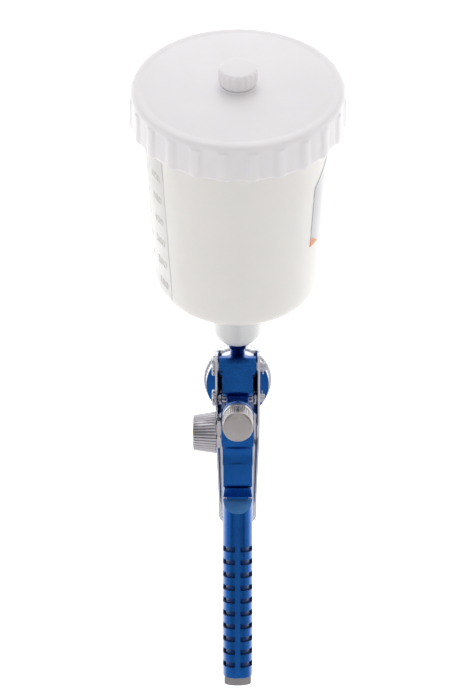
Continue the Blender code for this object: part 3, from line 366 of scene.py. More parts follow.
# %% [markdown]
# ## The forged body
# One forging holds everything: the threaded head, the port's stub, the crown with its pivot lugs, the thin
# waist, the round rear boss, the valve block and the grip. It could be sculpted as one skin, but the real
# tool is a set of plain masses milled in a die, so plain masses that are joined and then pierced
# keep its crisp planes. First the masses.

# %% Masses of the body
head = to_object("head", spun([
    (0, 24), (9.4, 24), (9.4, 19), (14.8, 19), (14.8, 27), (16.9, 27), (16.9, 12), (19.3, 12), (19.3, 10),
    (10.4, 10), (9.4, 9.2), (8.9, 7.5), (8.9, -10), (0, -10)], 96, 0.3, closed=False))
head.data.transform(FORWARD)
port = to_object("port", spun([
    (0, 53), (5.25, 53), (5.25, 43.3), (5.65, 43.3), (5.65, 36), (4.45, 36), (4.45, 29), (5.4, 25.4),
    (7.4, 23), (7.4, 0), (0, 0)], 64, 0.25, closed=False))
port.data.transform(PORT)
block = to_object("block", slab([
    (3, -4), (3, 16), (-8, 19), (-14, 23.5), (-20, 25.2), (-27, 24.6), (-31, 20.5), (-34, 14), (-36.6, 9),
    (-36.8, 7), (-34, 4.5), (-20, 1.5)], 8.95, 1.0, 1.2))
crown = to_object("crown", slab([
    (-14.4, 20), (-14.8, 23.4), (-17, 25.6), (-21, 26.6), (-26, 26.2), (-29.4, 23.4), (-30, 20.5)],
    11.4, 1.2, 1.3))
lugs = to_object("lugs", spun([(0, -11.4), (6.2, -11.4), (6.2, 11.4), (0, 11.4)], 48, 0.5, closed=False))
lugs.data.transform(PIVOT)
web = to_object("web", slab([
    (9, -15.5), (9, 8), (-38, 6.2), (-44, 4.9), (-50, 5.3), (-56, 7), (-56, -24), (-60.6, -30),
    (-60.6, -58), (-46, -60), (-43, -54), (-42, -46), (-31, -42), (-31, -30), (-32, -24), (-27, -18),
    (-20, -15.5)], 6.75, 2.0, 1.2))
valve_block = to_object("valve_block", slab([
    (-27, -30.5), (-27, -41.5), (-29, -43.4), (-61, -43.4), (-62, -42.6), (-62, -28.9), (-61.4, -28.3),
    (-32, -28.3), (-29, -29)], 8.5, 0.0, 0.6))
print("masses:", head.name, port.name, block.name, crown.name, lugs.name, web.name, valve_block.name)

# %% [markdown]
# The rear boss is round above the needle and tapers forward to the waist. Below, it has flat cheeks for the
# fan valve's nut to seat on, and a hollow cove under them leads down to the valve block. Its soft back rim
# is rounded in its outline.

# %% Rear boss
boss = to_object("boss", spun([
    (0, -48.5), (6.4, -48.5), (9.2, -59.5), (9.2, -62.2), (8.9, -62.8), (8.3, -63), (0, -63)], 96,
    closed=False))
boss.data.transform(FORWARD)
cheeks = to_object("cheeks", slab([(-63, -17.8), (-63, -3.5), (-43, -3.5), (-43, -17.8)], 9.4, 0.0, 0.5))
shoulders = to_object("shoulders", slab([(-63, -5), (-63, 0), (-59, 0), (-59, -5)], 9.4, 0.0, 0.15))
cove = to_object("cove", slab([
    (-62.6, -16), (-62.6, -18), (-61.7, -19), (-61, -20), (-60.5, -21.2), (-60.2, -22.5), (-60.1, -24),
    (-60.3, -25.5), (-60.8, -27), (-61.4, -28), (-61.8, -29), (-61, -30), (-40, -30), (-40, -16)],
    8.8, 0.0, 0.2))
print("boss:", len(boss.data.polygons), "faces")

# %% [markdown]
# The grip is a rounded oval, 17.6 by 28 mm, drawn out along its own leaning axis. Its ten pairs of shallow
# slots leave a smooth spine down the back. A slot is what a cutter that follows the oval leaves: a bar
# round the grip, less a slightly smaller grip. So the cutters are bars with that core taken out of them.

# %% Grip
GRIP_HALF_WIDTH = 8.8
GRIP_HALF_DEPTH = 14.0
SLOT_PITCH = 7.57
SLOT_HEIGHT = 3.1
SLOT_DEPTH = 2.0
LOWEST_SLOT = 6.6
SLOT_ROWS = 10


def grip_oval(shrink, low, high, rim):
    """The grip's oval from low to high along its axis, smaller all round by shrink."""
    bm = bmesh.new()
    ring = []
    for step in range(64):
        angle = 2 * math.pi * step / 64
        cosine, sine = math.cos(angle), math.sin(angle)
        x = math.copysign(abs(cosine) ** 0.8, cosine) * (GRIP_HALF_WIDTH - shrink)
        y = math.copysign(abs(sine) ** 0.8, sine) * (GRIP_HALF_DEPTH - shrink)
        ring.append(bm.verts.new((x * MM, y * MM, low * MM)))
    face = bm.faces.new(ring)
    pushed = bmesh.ops.extrude_face_region(bm, geom=[face])["geom"]
    bmesh.ops.translate(bm, verts=corners(pushed), vec=(0, 0, (high - low) * MM))
    bmesh.ops.recalc_face_normals(bm, faces=bm.faces)
    if rim:
        bevel_edges(bm, sharp_edges(bm, 60.0), rim, 3)
    bm.transform(GRIP)
    return bm


def bar(low, high, matrix, rim=0.0):
    """A rectangular bar between two corners, in mm."""
    bm = bmesh.new()
    bmesh.ops.create_cube(bm, size=1.0)
    size = [(b - a) * MM for a, b in zip(low, high)]
    middle = [(a + b) / 2 * MM for a, b in zip(low, high)]
    bmesh.ops.scale(bm, vec=size, verts=bm.verts)
    bmesh.ops.translate(bm, vec=middle, verts=bm.verts)
    if rim:
        bevel_edges(bm, bm.edges[:], rim, 2)
    bm.transform(matrix)
    return bm


grip = to_object("grip", grip_oval(0.0, 0.0, 112.0, 1.0))
for tilt, rear, front in ((-16.0, -1, 40), (25.4, -30, 0)):
    ridge = Matrix.Translation((0, -60.6 * MM, -50.7 * MM)) @ Matrix.Rotation(math.radians(tilt), 4, "X")
    carve(grip, [to_object("shoulder", bar((-14, rear, 0), (14, front, 30), ridge))], "DIFFERENCE")
core = to_object("core", grip_oval(SLOT_DEPTH, -5.0, 117.0, 0.0))
slots = []
for row in range(SLOT_ROWS):
    foot = LOWEST_SLOT + row * SLOT_PITCH
    for low, high in ((-12.0, -1.5), (1.5, 12.0)):
        slots.append(to_object("slot", bar((low, -18, foot), (high, 3, foot + SLOT_HEIGHT), GRIP, 0.45)))
slot_cutter = carve(slots[0], slots[1:], "UNION")
carve(slot_cutter, [core], "DIFFERENCE")
carve(grip, [slot_cutter], "DIFFERENCE")
print("grip:", len(grip.data.polygons), "faces,", len(slots), "slots")

# %% [markdown]
# Now the masses become one, and the bores that show are drilled: the window for the trigger's cross pin, the
# pivot, the mouths of the valve, fan valve, nozzle and needle, and the inlet. Bores that no one can see stay
# out of the skin.

# %% One body, then its bores
body = carve(head, [port, block, crown, lugs, web, boss, cheeks, shoulders, cove, valve_block, grip], "UNION")


def drill(name, outline, matrix, steps=48):
    """A turned cutter whose outline is (radius, height) in mm."""
    tool = to_object(name, spun(outline, steps, closed=False))
    tool.data.transform(matrix)
    return tool


bores = [
    to_object("window", bar((-20, -34, -5.6), (20, -11, 5.6), IDENTITY, 0.8)),
    drill("pivot_bore", [(0, -20), (3.25, -20), (3.25, 20), (0, 20)], PIVOT),
    drill("nozzle_bore", [(0, 28), (5.2, 28), (5.2, 7), (2.2, 4), (2.2, -3.2), (3.6, -3.2), (3.6, -12),
                          (0, -12)], FORWARD),
    drill("spring_bore", [(0, -33), (2.2, -33), (2.2, -48.7), (5.6, -48.7), (5.6, -70), (0, -70)], FORWARD),
    drill("valve_bore", [(0, -20), (5.1, -20), (5.1, -42), (4.2, -42), (4.2, -60), (0, -60)], VALVE),
    drill("fan_bore", [(0, -4), (4.7, -4), (4.7, 20), (0, 20)], FAN),
    drill("paint_bore", [(0, 2), (3.2, 2), (3.2, 60), (0, 60)], PORT),
    drill("inlet_bore", [(0, -2), (6.3, -2), (6.3, 12), (0, 12)], GRIP)]
carve(body, bores, "DIFFERENCE")
body.name = "forged_body"
finish_piece(body, "gun", anodised, "gun_body", angle=34.0)
print("body box:", [round(v, 4) for v in body.dimensions])

# %% [markdown]
# The painted shade of the slots and the painted highlight of the shoulder go on face by face. Seen along the
# grip's own axis, a face belongs to a slot when it lies in the slots' stretch, a little inside the grip's
# oval, behind its front, and outside the air way. The shoulder is the sloping face at the grip's top that
# looks back and up.

# %% Painted shade on the slots and painted highlight on the shoulder
body.data.materials.append(slot_painted_shade)
body.data.materials.append(shoulder_painted_highlight)
SLOT_SHADE_INDEX, SHOULDER_HIGHLIGHT_INDEX = 1, 2
SLOT_ZONE = (6.7, 78.0)
SHOULDER_ZONE = (95.0, 108.0)
AIR_WAY = 6.45
to_grip = GRIP.inverted()
slot_faces = 0
# Faces in the slots get the painted shade, the shoulder's faces the painted highlight.
for face in body.data.polygons:
    x, y, z = (to_grip @ face.center) / MM
    oval = abs(x / GRIP_HALF_WIDTH) ** 2.5 + abs(y / GRIP_HALF_DEPTH) ** 2.5
    if SLOT_ZONE[0] < z < SLOT_ZONE[1] and y < 2.9 and oval < 0.985 and math.hypot(x, y) > AIR_WAY:
        face.material_index = SLOT_SHADE_INDEX
        slot_faces += 1
    elif SHOULDER_ZONE[0] < z < SHOULDER_ZONE[1] and y < -2.0 and 0.85 < face.normal.z < 0.97:
        face.material_index = SHOULDER_HIGHLIGHT_INDEX
print("faces in the slots:", slot_faces)

# %% [markdown]
# ## The head: ring and air cap
# The clamping ring is turned, knurled so that a wet hand can undo it, and chromed. A straight knurl is
# pressed in by a wheel: sixty teeth round the rim. Spinning the ring in four steps a tooth gives columns
# that can be pushed in, one in four, by half a millimetre. The same helper makes every knurl and flute on
# the gun.

# %% Knurls and flutes
def knurl(bm, teeth, phases, depth, radius, low, high):
    """Press grooves into a spun wall. Each tooth is `phases` columns wide and its first column goes in."""
    for vert in bm.verts:
        height = vert.co.z / MM
        reach = math.hypot(vert.co.x, vert.co.y) / MM
        if low < height < high and reach > radius:
            turn = math.atan2(vert.co.y, vert.co.x) / (2 * math.pi) * teeth * phases
            if round(turn) % phases == 0:
                vert.co.xy *= (reach - depth) / reach


ring = spun([
    (15.2, 36.0), (19.0, 36.0), (20.2, 35.5), (21.25, 34.6), (21.25, 34.0), (21.25, 23.0), (21.25, 22.4),
    (20.7, 21.8), (19.2, 21.8), (19.2, 20.6), (20.0, 20.2), (19.9, 19.0), (19.4, 12.3), (17.3, 12.3),
    (17.3, 33.2), (15.2, 33.2)], 4 * 60)
knurl(ring, 60, 4, depth=0.5, radius=21.0, low=22.1, high=34.3)
new_piece("knurled_clamping_ring", ring, FORWARD, "air_cap_ring", chrome, "air_cap_ring", angle=25.0)

# %% [markdown]
# The air cap is brass. Its two horns throw air across the jet and flatten it into a fan. Each is a small slab
# with soft edges, set into the cap's cone, with a drilled hole that points at the jet. Four small holes
# round the middle one steady the jet.

# %% Air cap
cap = to_object("cap", spun([
    (2.9, 43.0), (6.5, 43.0), (8.5, 41.5), (14.6, 36.6), (14.6, 32.8), (16.4, 32.8), (16.4, 30.2),
    (12.6, 30.2), (12.6, 35.0), (6.5, 40.0), (2.9, 41.0)], 96, 0.2))
cap.data.transform(FORWARD)
horns = []
for side in (-1, 1):
    horn = to_object("horn", slab([(35.5, 13.6), (48.5, 13.0), (48.5, 10.6), (43.5, 7.6), (39.6, 9.4)],
                                  2.6, 0.4, 0.5))
    horn.data.transform(Matrix.Rotation(math.pi / 2 * side, 4, "Y"))
    horns.append(horn)
carve(cap, horns, "UNION")
holes = []
for turn in (0, 90, 180, 270):
    spin = FORWARD @ Matrix.Rotation(math.radians(turn + 45), 4, "Z") @ Matrix.Translation((4.6 * MM, 0, 0))
    holes.append(drill("hole", [(0, 38), (0.5, 38), (0.5, 45), (0, 45)], spin, 16))
for side in (-1, 1):
    aim = Matrix.Translation((side * 9.0 * MM, 46.0 * MM, 0)) @ Matrix.Rotation(side * 0.55 * math.pi, 4, "Y")
    holes.append(drill("jet", [(0, -3), (0.7, -3), (0.7, 4), (0, 4)], aim, 16))
carve(cap, holes, "DIFFERENCE")
cap.name = "drilled_air_cap"
finish_piece(cap, "air_cap", brass, "air_cap")

# %% [markdown]
# ## Knobs
# The fluid knob, behind the needle, is turned from bar: a plain front collar, a groove, and a fine straight
# knurl up to the bevelled rim round its flat brushed end.

# %% Fluid knob
knob = spun([
    (0, -79.5), (2.2, -79.5), (2.2, -74.5), (3.9, -74.5), (3.9, -71.4), (5.7, -71.4), (5.7, -63.3),
    (8.65, -63.3), (8.95, -63.8), (8.95, -68.5), (8.05, -68.9), (8.05, -70.4), (8.95, -70.8),
    (8.95, -71.2), (8.95, -82.2), (8.95, -82.6), (8.7, -83.3), (8.3, -83.7), (7.8, -83.9), (7.3, -84.0),
    (0, -84.0)], 4 * 46, closed=False)
knurl(knob, 46, 4, depth=0.5, radius=8.9, low=-82.4, high=-70.9)
new_piece("knurled_fluid_knob", knob, FORWARD, "fluid_knob", nickel, "fluid_knob", angle=25.0)

# %% [markdown]
# The fan knob on the left is wider at its root and has flutes all the way round, more like a watch crown than
# a knurl. A domed brass screw holds it on its stem, and a hexagonal nut holds the valve in the body. A
# hexagon with turned corners is what is left when hexagonal bar is chamfered on a lathe: a turned
# blank and a six-sided bar, and only what both share.

# %% Fan knob, screw and nut
fan_knob = spun([
    (3.4, 25.6), (4.6, 26.2), (9.9, 26.2), (10.3, 25.9), (10.5, 25.4), (12.35, 13.4), (12.3, 12.9),
    (12.0, 12.6), (6.2, 12.6), (6.2, 19.5), (2.3, 19.5), (2.3, 22.2), (3.4, 22.2)], 4 * 40)
knurl(fan_knob, 40, 4, depth=0.75, radius=9.95, low=12.7, high=26.0)
new_piece("fluted_fan_knob", fan_knob, FAN, "fan_valve", nickel_fan, "fan_knob", angle=25.0)
dome = spun([(0, 26.9), (0.9, 26.85), (1.8, 26.7), (2.6, 26.3), (3.1, 25.8), (3.1, 23.2), (0, 23.2)], 48,
            closed=False)
new_piece("domed_brass_screw", dome, FAN, "fan_valve", brass_fan, "fan_knob_screw")


def hexagon(name, flats, low, high, matrix):
    """A six-sided bar, flats across, in mm."""
    bm = bmesh.new()
    bmesh.ops.create_circle(bm, cap_ends=True, radius=flats / math.sqrt(3) * MM, segments=6)
    bmesh.ops.translate(bm, verts=bm.verts, vec=(0, 0, low * MM))
    pushed = bmesh.ops.extrude_face_region(bm, geom=bm.faces[:])["geom"]
    bmesh.ops.translate(bm, verts=corners(pushed), vec=(0, 0, (high - low) * MM))
    bmesh.ops.recalc_face_normals(bm, faces=bm.faces)
    bm.transform(matrix)
    return to_object(name, bm)


def hex_nut(name, outline, flats, matrix, body_name, material, node):
    """A chamfered hexagonal piece: a turned blank cut by a six-sided bar that is longer than it."""
    blank = to_object(name, spun(outline, 96))
    blank.data.transform(matrix)
    heights = [height for _, height in outline]
    carve(blank, [hexagon("bar", flats, min(heights) - 5, max(heights) + 5, matrix)], "INTERSECT")
    return finish_piece(blank, body_name, material, node)


hex_nut("fan_gland_nut", [
    (2.3, 16.5), (4.2, 16.5), (4.2, 12.5), (8.3, 12.5), (9.1, 12.0), (9.1, 10.2), (8.6, 9.7), (4.4, 9.7),
    (4.4, 2.0), (2.3, 2.0)],
    16.2, FAN, "gun", nickel_fan, "fan_valve_nut")
hex_nut("needle_gland_nut", [
    (3.3, -6.0), (3.3, -11.3), (4.9, -11.3), (4.9, -15.0), (4.4, -15.5), (1.75, -15.5), (1.75, -6.0)],
    8.6, FORWARD, "gun", brass, "needle_packing_nut")
hex_nut("valve_gland_nut", [
    (5.4, -24.0), (5.9, -24.5), (5.9, -26.7), (4.8, -26.7), (4.8, -32.8), (1.75, -32.8), (1.75, -24.0)],
    10.4, VALVE, "gun", brass_valve, "air_valve_packing_nut")
hex_nut("hex_air_inlet", [
    (6.0, 10.0), (6.0, -0.1), (9.3, -0.1), (9.3, -3.9), (8.1, -5.3), (5.9, -5.3), (5.3, -4.7), (5.3, 5.0),
    (3.6, 6.5), (3.6, 10.0)], 15.8, GRIP, "gun", nickel_inlet, "air_inlet")

# %% [markdown]
# ## Trigger
# The trigger is one steel pressing, chromed: two arms that hang either side of the body, joined below it by a
# web, with its front edges folded inwards. A pressing has one thickness everywhere, so the surface is
# lofted as a single sheet, row by row, and a Solidify modifier gives it its 1.6 mm. A Bevel modifier
# softens the cut edges.

# %% Trigger's side outline
def glide(points, z):
    """Smooth reading of (z, y) points, highest first, by the curve that passes through them."""
    for place in range(len(points) - 1):
        (z1, y1), (z2, y2) = points[place], points[place + 1]
        if z2 <= z <= z1:
            before = points[max(place - 1, 0)]
            after = points[min(place + 2, len(points) - 1)]
            slope1 = (y2 - before[1]) / (z2 - before[0])
            slope2 = (after[1] - y1) / (after[0] - z1)
            t = (z - z1) / (z2 - z1)
            span = z2 - z1
            return ((2 * t ** 3 - 3 * t ** 2 + 1) * y1 + (t ** 3 - 2 * t ** 2 + t) * span * slope1
                    + (3 * t ** 2 - 2 * t ** 3) * y2 + (t ** 3 - t ** 2) * span * slope2)
    raise ValueError(z)


FRONT = ((28.0, -17.0), (26.5, -13.5), (22.0, -11.0), (12.0, -10.2), (0.0, -9.6), (-14.0, -8.4),
         (-26.0, -6.0), (-38.0, -5.4), (-50.0, -6.2), (-62.0, -5.4), (-74.0, -2.0), (-82.0, 2.2),
         (-87.0, 6.0))
REAR = ((28.0, -22.0), (26.5, -26.0), (22.0, -28.0), (12.0, -28.0), (0.0, -27.6), (-14.0, -24.0),
        (-26.0, -17.0), (-38.0, -13.4), (-50.0, -12.4), (-62.0, -11.0), (-74.0, -7.2), (-82.0, -2.4),
        (-87.0, 2.6))
rows = [28.0, 27.4, 26.5, 25.0] + [23.0 - 2.0 * step for step in range(54)] + [-85.6, -86.4, -87.0]
depth_at_pivot = glide(FRONT, 19.5) - glide(REAR, 19.5)
print("trigger rows:", len(rows), "depth at the pivot:", round(depth_at_pivot, 1), "mm")

# %% [markdown]
# From the middle down, the two arms draw in by an eighth, and the tip rounds off in its last 8 mm. The web
# between them starts below WEB_TOP: above it, the three middle columns of the sheet stay open.

# %% Trigger's sheet
WEB_TOP = -21.0
HALF_WIDTH = 12.6
FOLD_RADIUS = 3.0
LIP_REACH = 9.6
SHEET_THICKNESS = 1.6
OPEN_COLUMNS = (6, 7, 8)
sheet = bmesh.new()
grid = []
for z in rows:
    front, rear = glide(FRONT, z), glide(REAR, z)
    taper = 1.0 - 0.13 * max(0.0, min(1.0, (-26.0 - z) / 40.0))
    tip = max(0.0, min(1.0, (-79.0 - z) / 8.0))
    side = HALF_WIDTH * taper * (1.0 - 0.30 * tip ** 2)
    fold = min(FOLD_RADIUS, (front - rear) * 0.5)
    reach = LIP_REACH if z > 3.0 else max(7.6, LIP_REACH - (3.0 - z) * 0.5)
    reach = min(reach, side - fold)
    middle = (rear + front - fold) / 2
    half = [(side, rear), (side, middle), (side, front - fold), (side - fold * 0.13, front - fold * 0.5),
            (side - fold * 0.5, front - fold * 0.13), (side - fold, front), (reach, front),
            (reach * 0.4, front)]
    row = [(-x, y) for x, y in half] + [(x, y) for x, y in reversed(half)]
    grid.append([sheet.verts.new((x * MM, y * MM, z * MM)) for x, y in row])
for z, upper, lower in zip(rows, grid, grid[1:]):
    for column in range(len(upper) - 1):
        if z > WEB_TOP and column in OPEN_COLUMNS:
            continue
        sheet.faces.new((upper[column], upper[column + 1], lower[column + 1], lower[column]))
bmesh.ops.delete(sheet, geom=[v for v in sheet.verts if not v.link_faces], context="VERTS")
bmesh.ops.recalc_face_normals(sheet, faces=sheet.faces)
trigger = to_object("pressed_trigger", sheet)
wall = trigger.modifiers.new("Sheet", "SOLIDIFY")
wall.thickness = SHEET_THICKNESS * MM
wall.offset = 0.0
wall.use_even_offset = True
edge = trigger.modifiers.new("Edge", "BEVEL")
edge.width = 0.35 * MM
edge.segments = 3
edge.limit_method = "ANGLE"
edge.angle_limit = math.radians(40)
finish_piece(trigger, "trigger", chrome, "trigger", angle=45.0)

# %% [markdown]
# ## Trigger pins
# The trigger hangs on a headed pin through the lugs, and pulls the needle with a second one. Each has a domed
# head on the left and a spring clip in a groove on the right. They are small, but their bright rims stand
# out at both sides of the trigger, so each rim gets its bevel.

# %% Pins, washers and clips
steel_pin = turned_metal("chromed_pin_turned", "B6B5BC", "9C9BA3", PIVOT, 0.08, 0.18)
new_piece("headed_pivot_pin", spun([
    (0, 17.4), (2.45, 17.4), (2.75, 17.1), (2.75, 15.9), (2.2, 15.9), (2.2, 14.6), (3.0, 14.6), (3.0, -13.7),
    (5.2, -13.7), (5.4, -13.9), (5.4, -14.9), (5.1, -15.3), (4.4, -15.5), (0, -15.5)], 64, closed=False),
    PIVOT, "gun", steel_pin, "trigger_pivot_pin")
cross = to_object("headed_cross_pin", spun([
    (0, 16.4), (2.0, 16.4), (2.3, 16.1), (2.3, 15.4), (1.8, 15.4), (1.8, 14.3), (2.5, 14.3), (2.5, 5.0),
    (3.8, 5.0), (4.0, 4.8), (4.0, -4.8), (3.8, -5.0), (2.5, -5.0), (2.5, -13.7), (4.9, -13.7), (5.1, -13.9),
    (5.1, -14.9), (4.8, -15.3), (4.1, -15.5), (0, -15.5)], 64, closed=False))
cross.data.transform(CROSS_PIN)
carve(cross, [to_object("eye", bar((-1.9, -30, -3.2), (1.9, -10, 3.2), IDENTITY))], "DIFFERENCE")
finish_piece(cross, "trigger", steel_pin, "trigger_needle_pin")
for name, low, high in (("left", -11.5, -9.4), ("right", 9.4, 11.5)):
    new_piece(f"spacer_{name}", spun([(3.95, high), (3.95, low), (2.8, low), (2.8, high)], 48, 0.25),
              CROSS_PIN, "trigger", steel_pin, f"needle_pin_washer_{name}")


def e_clip(name, outer, inner, low, high, matrix, body_name, node):
    """A stamped E-clip: a flat ring with a mouth cut out of its front."""
    clip = to_object(name, spun([(outer, high), (outer, low), (inner, low), (inner, high)], 48))
    clip.data.transform(matrix)
    mouth = to_object("mouth", bar((-8, -inner * 0.8, low - 2), (0, inner * 0.8, high + 2), matrix))
    carve(clip, [mouth], "DIFFERENCE")
    return finish_piece(clip, body_name, wire, node)


e_clip("pivot_e_clip", 4.6, 2.5, 14.9, 15.6, PIVOT, "gun", "trigger_pivot_clip")
e_clip("cross_pin_e_clip", 4.9, 2.1, 14.5, 15.1, CROSS_PIN, "trigger", "needle_pin_clip")

# %% [markdown]
# ## The cup
# The cup is one injection moulding with a 2 mm wall: a bead below the rim for the lid, a slight taper so
# that it leaves the mould, a funnel at the foot and a spigot that plugs into the collar. A spun outline
# gives all of it in one go. It is rounded in the outline where the mould is, because a bevel would
# thin the bead.

# %% Cup shell
CUP_FLOOR = 89.5
CUP_RIM = 217.8
CUP_WALL = 2.0
FLOOR_RADIUS = 47.2
RIM_RADIUS = 52.2
TAPER = (RIM_RADIUS - FLOOR_RADIUS) / (CUP_RIM - CUP_FLOOR)


def cup_radius(height):
    """Outer radius of the cup's wall at this height along the port's axis, in mm."""
    return FLOOR_RADIUS + TAPER * (height - CUP_FLOOR)


outline = [
    (50.2, 217.5), (50.5, 217.8), (51.9, 217.8), (52.2, 217.5), (52.05, 213.8), (53.5, 212.7), (53.9, 211.9),
    (53.9, 211.2), (53.4, 210.5), (51.9, 209.3)]
outline += [(cup_radius(h), h) for h in (190, 160, 130, 110, 98.5)]
outline += [(47.2, 95.1), (46.7, 92.7), (45.5, 90.7), (43.6, 89.4), (41.0, 88.2), (11.6, 74.7), (11.1, 74.2),
            (10.9, 73.5), (10.9, 56.5), (4.6, 56.5), (4.6, 74.1), (9.6, 76.1), (39.8, 90.1), (43.2, 91.9),
            (44.6, 94.1), (45.4, 96.9)]
outline += [(cup_radius(h) - CUP_WALL, h) for h in (110, 130, 160, 190)]
cup = to_object("cup_moulding", spun(outline, 144))
print("cup: radius", round(cup_radius(150), 1), "mm at half height, wall", CUP_WALL, "mm")

# %% [markdown]
# The measuring panel on the left side stands 0.25 mm proud of the wall, with a mark and a number every
# 100 ml, 15.2 mm apart, and four shorter marks between them. The panel and the marks start flat and are
# wrapped round the cup: across becomes an angle, up stays a height, and thickness becomes radius. The
# numbers come from Blender's own font, as a mesh, wrapped in the same way.

# %% Wrapping a flat drawing round the cup
def wrap(bm, middle_angle):
    """Bend a flat drawing in mm (x across, y height, z out from the wall) round the cup."""
    for vert in bm.verts:
        across, height, out = vert.co
        radius = cup_radius(height) + out
        angle = middle_angle + across / cup_radius(height)
        vert.co = (radius * math.cos(angle) * MM, radius * math.sin(angle) * MM, height * MM)
    return bm


def flat_block(bm, low, high, cells, thickness):
    """A flat block in mm from its low corner to its high one, with enough columns to bend well."""
    made = bmesh.ops.create_grid(bm, x_segments=cells, y_segments=1, size=0.5)["verts"]
    bmesh.ops.scale(bm, verts=made, vec=(high[0] - low[0], high[1] - low[1], 1.0))
    bmesh.ops.translate(bm, verts=made, vec=((low[0] + high[0]) / 2, (low[1] + high[1]) / 2, thickness[0]))
    faces = list({face for vert in made for face in vert.link_faces})
    pushed = bmesh.ops.extrude_face_region(bm, geom=faces)["geom"]
    bmesh.ops.translate(bm, verts=corners(pushed), vec=(0, 0, thickness[1] - thickness[0]))


PANEL_ANGLE = math.radians(198.0)
PANEL_HALF = 17.0
PANEL_LIFT = 0.25
panel = bmesh.new()
flat_block(panel, (-PANEL_HALF, 96.5), (PANEL_HALF, 199.5), 24, (-0.4, PANEL_LIFT))
bmesh.ops.recalc_face_normals(panel, faces=panel.faces)
outer = [edge for edge in sharp_edges(panel, 60.0) if (edge.verts[0].co.z + edge.verts[1].co.z) > 0.4]
bevel_edges(panel, outer, PANEL_LIFT / MM, 2)
wrap(panel, PANEL_ANGLE)
print("panel:", round(math.degrees(2 * PANEL_HALF / cup_radius(150))), "degrees wide")

# %% Numbers and marks
def number(text, middle, height, size):
    """Flat raised digits in mm, centred on middle, standing on height."""
    curve = bpy.data.curves.new("number", "FONT")
    curve.body = text
    curve.size = size
    curve.align_x = "CENTER"
    curve.extrude = 0.15
    curve.resolution_u = 3
    letters = bpy.data.objects.new("number", curve)
    bpy.context.scene.collection.objects.link(letters)
    bpy.context.view_layer.update()
    mesh = bpy.data.meshes.new_from_object(letters.evaluated_get(bpy.context.evaluated_depsgraph_get()))
    bpy.data.objects.remove(letters, do_unlink=True)
    bm = bmesh.new()
    bm.from_mesh(mesh)
    bmesh.ops.triangulate(bm, faces=bm.faces)
    bmesh.ops.translate(bm, verts=bm.verts, vec=(middle, height, 0.30))
    return bm


def pour(bm, target):
    """Move everything in bm into target."""
    scratch = bpy.data.meshes.new("scratch")
    bm.to_mesh(scratch)
    bm.free()
    target.from_mesh(scratch)


FIRST_MARK = 104.0
MARK_PITCH = 15.2
NUMBERS = 6
marks = bmesh.new()
for index in range(NUMBERS):
    digits = number(str(100 * (index + 1)), 8.6, FIRST_MARK + MARK_PITCH * index - 2.4, 7.0)
    pour(wrap(digits, PANEL_ANGLE), marks)
lines = bmesh.new()
for index in range(31):
    height = FIRST_MARK + MARK_PITCH * index / 5 - 3.0
    if height < 196.0:
        reach = -3.0 if index % 5 == 0 else -9.0
        flat_block(lines, (-15.5, height - 0.3), (reach, height + 0.3), 6, (0.1, 0.45))
bmesh.ops.recalc_face_normals(lines, faces=lines.faces)
wrap(lines, PANEL_ANGLE)
pour(panel, marks)
pour(lines, marks)
scale_marks = to_object("raised_scale", marks)
print("scale:", len(scale_marks.data.polygons), "faces")

# %% Cup in place
for part in (cup, scale_marks):
    part.data.transform(PORT)
finish_piece(cup, "cup", cup_natural, "paint_cup")
finish_piece(scale_marks, "cup", cup_natural)

# %% [markdown]
# **The label** is a printed film, stuck on the right side: a white ground that turns grey toward its rear
# edge, a few neutral bars where a maker's print would be, and an orange corner low at the rear. The print
# is in the material. It reads a UV map that runs from 0 to 1 round the film, from its rear edge, and up it.

# %% Printed film
GREY_SHARE = 0.30
CORNER_SHARE = 0.16
BAR_ROWS = 9.0
BAR_SHARE = 0.28
PRINT_REAR, PRINT_FRONT, PRINT_TOP = 0.34, 0.88, 0.62
film, tree, shader, place = new_material("printed_film_gloss_laminated", IOR=1.5, Roughness=0.18)
prints = add_node(tree, "ShaderNodeUVMap", uv_map="Print").outputs["UV"]
spot = add_node(tree, "ShaderNodeSeparateXYZ", {"Vector": prints}).outputs


def step(operation, first, second):
    """One sum on the film's coordinates; a comparison gives 1 where it holds and 0 elsewhere."""
    return add_node(tree, "ShaderNodeMath", {0: first, 1: second}, operation=operation).outputs["Value"]


fade = add_node(tree, "ShaderNodeMapRange", {"Value": spot["X"], "From Min": 0.0, "From Max": GREY_SHARE})
ground = blend(tree, fade.outputs["Result"], "B9BABD", "E4E4E6")
in_corner = step("LESS_THAN", step("ADD", spot["X"], spot["Y"]), CORNER_SHARE)
in_bar = step("LESS_THAN", step("MODULO", step("MULTIPLY", spot["Y"], BAR_ROWS), 1.0), BAR_SHARE)
for limit in (step("GREATER_THAN", spot["X"], PRINT_REAR), step("LESS_THAN", spot["X"], PRINT_FRONT),
              step("LESS_THAN", spot["Y"], PRINT_TOP)):
    in_bar = step("MULTIPLY", in_bar, limit)
inked = blend(tree, in_bar, blend(tree, in_corner, ground, "D9772B"), "B4B6BC")
tree.links.new(inked, shader.inputs["Base Color"])
print("finish:", film.name)

# %% [markdown]
# The film is 58 degrees wide, and its upper rear corner is cut away in a slope.

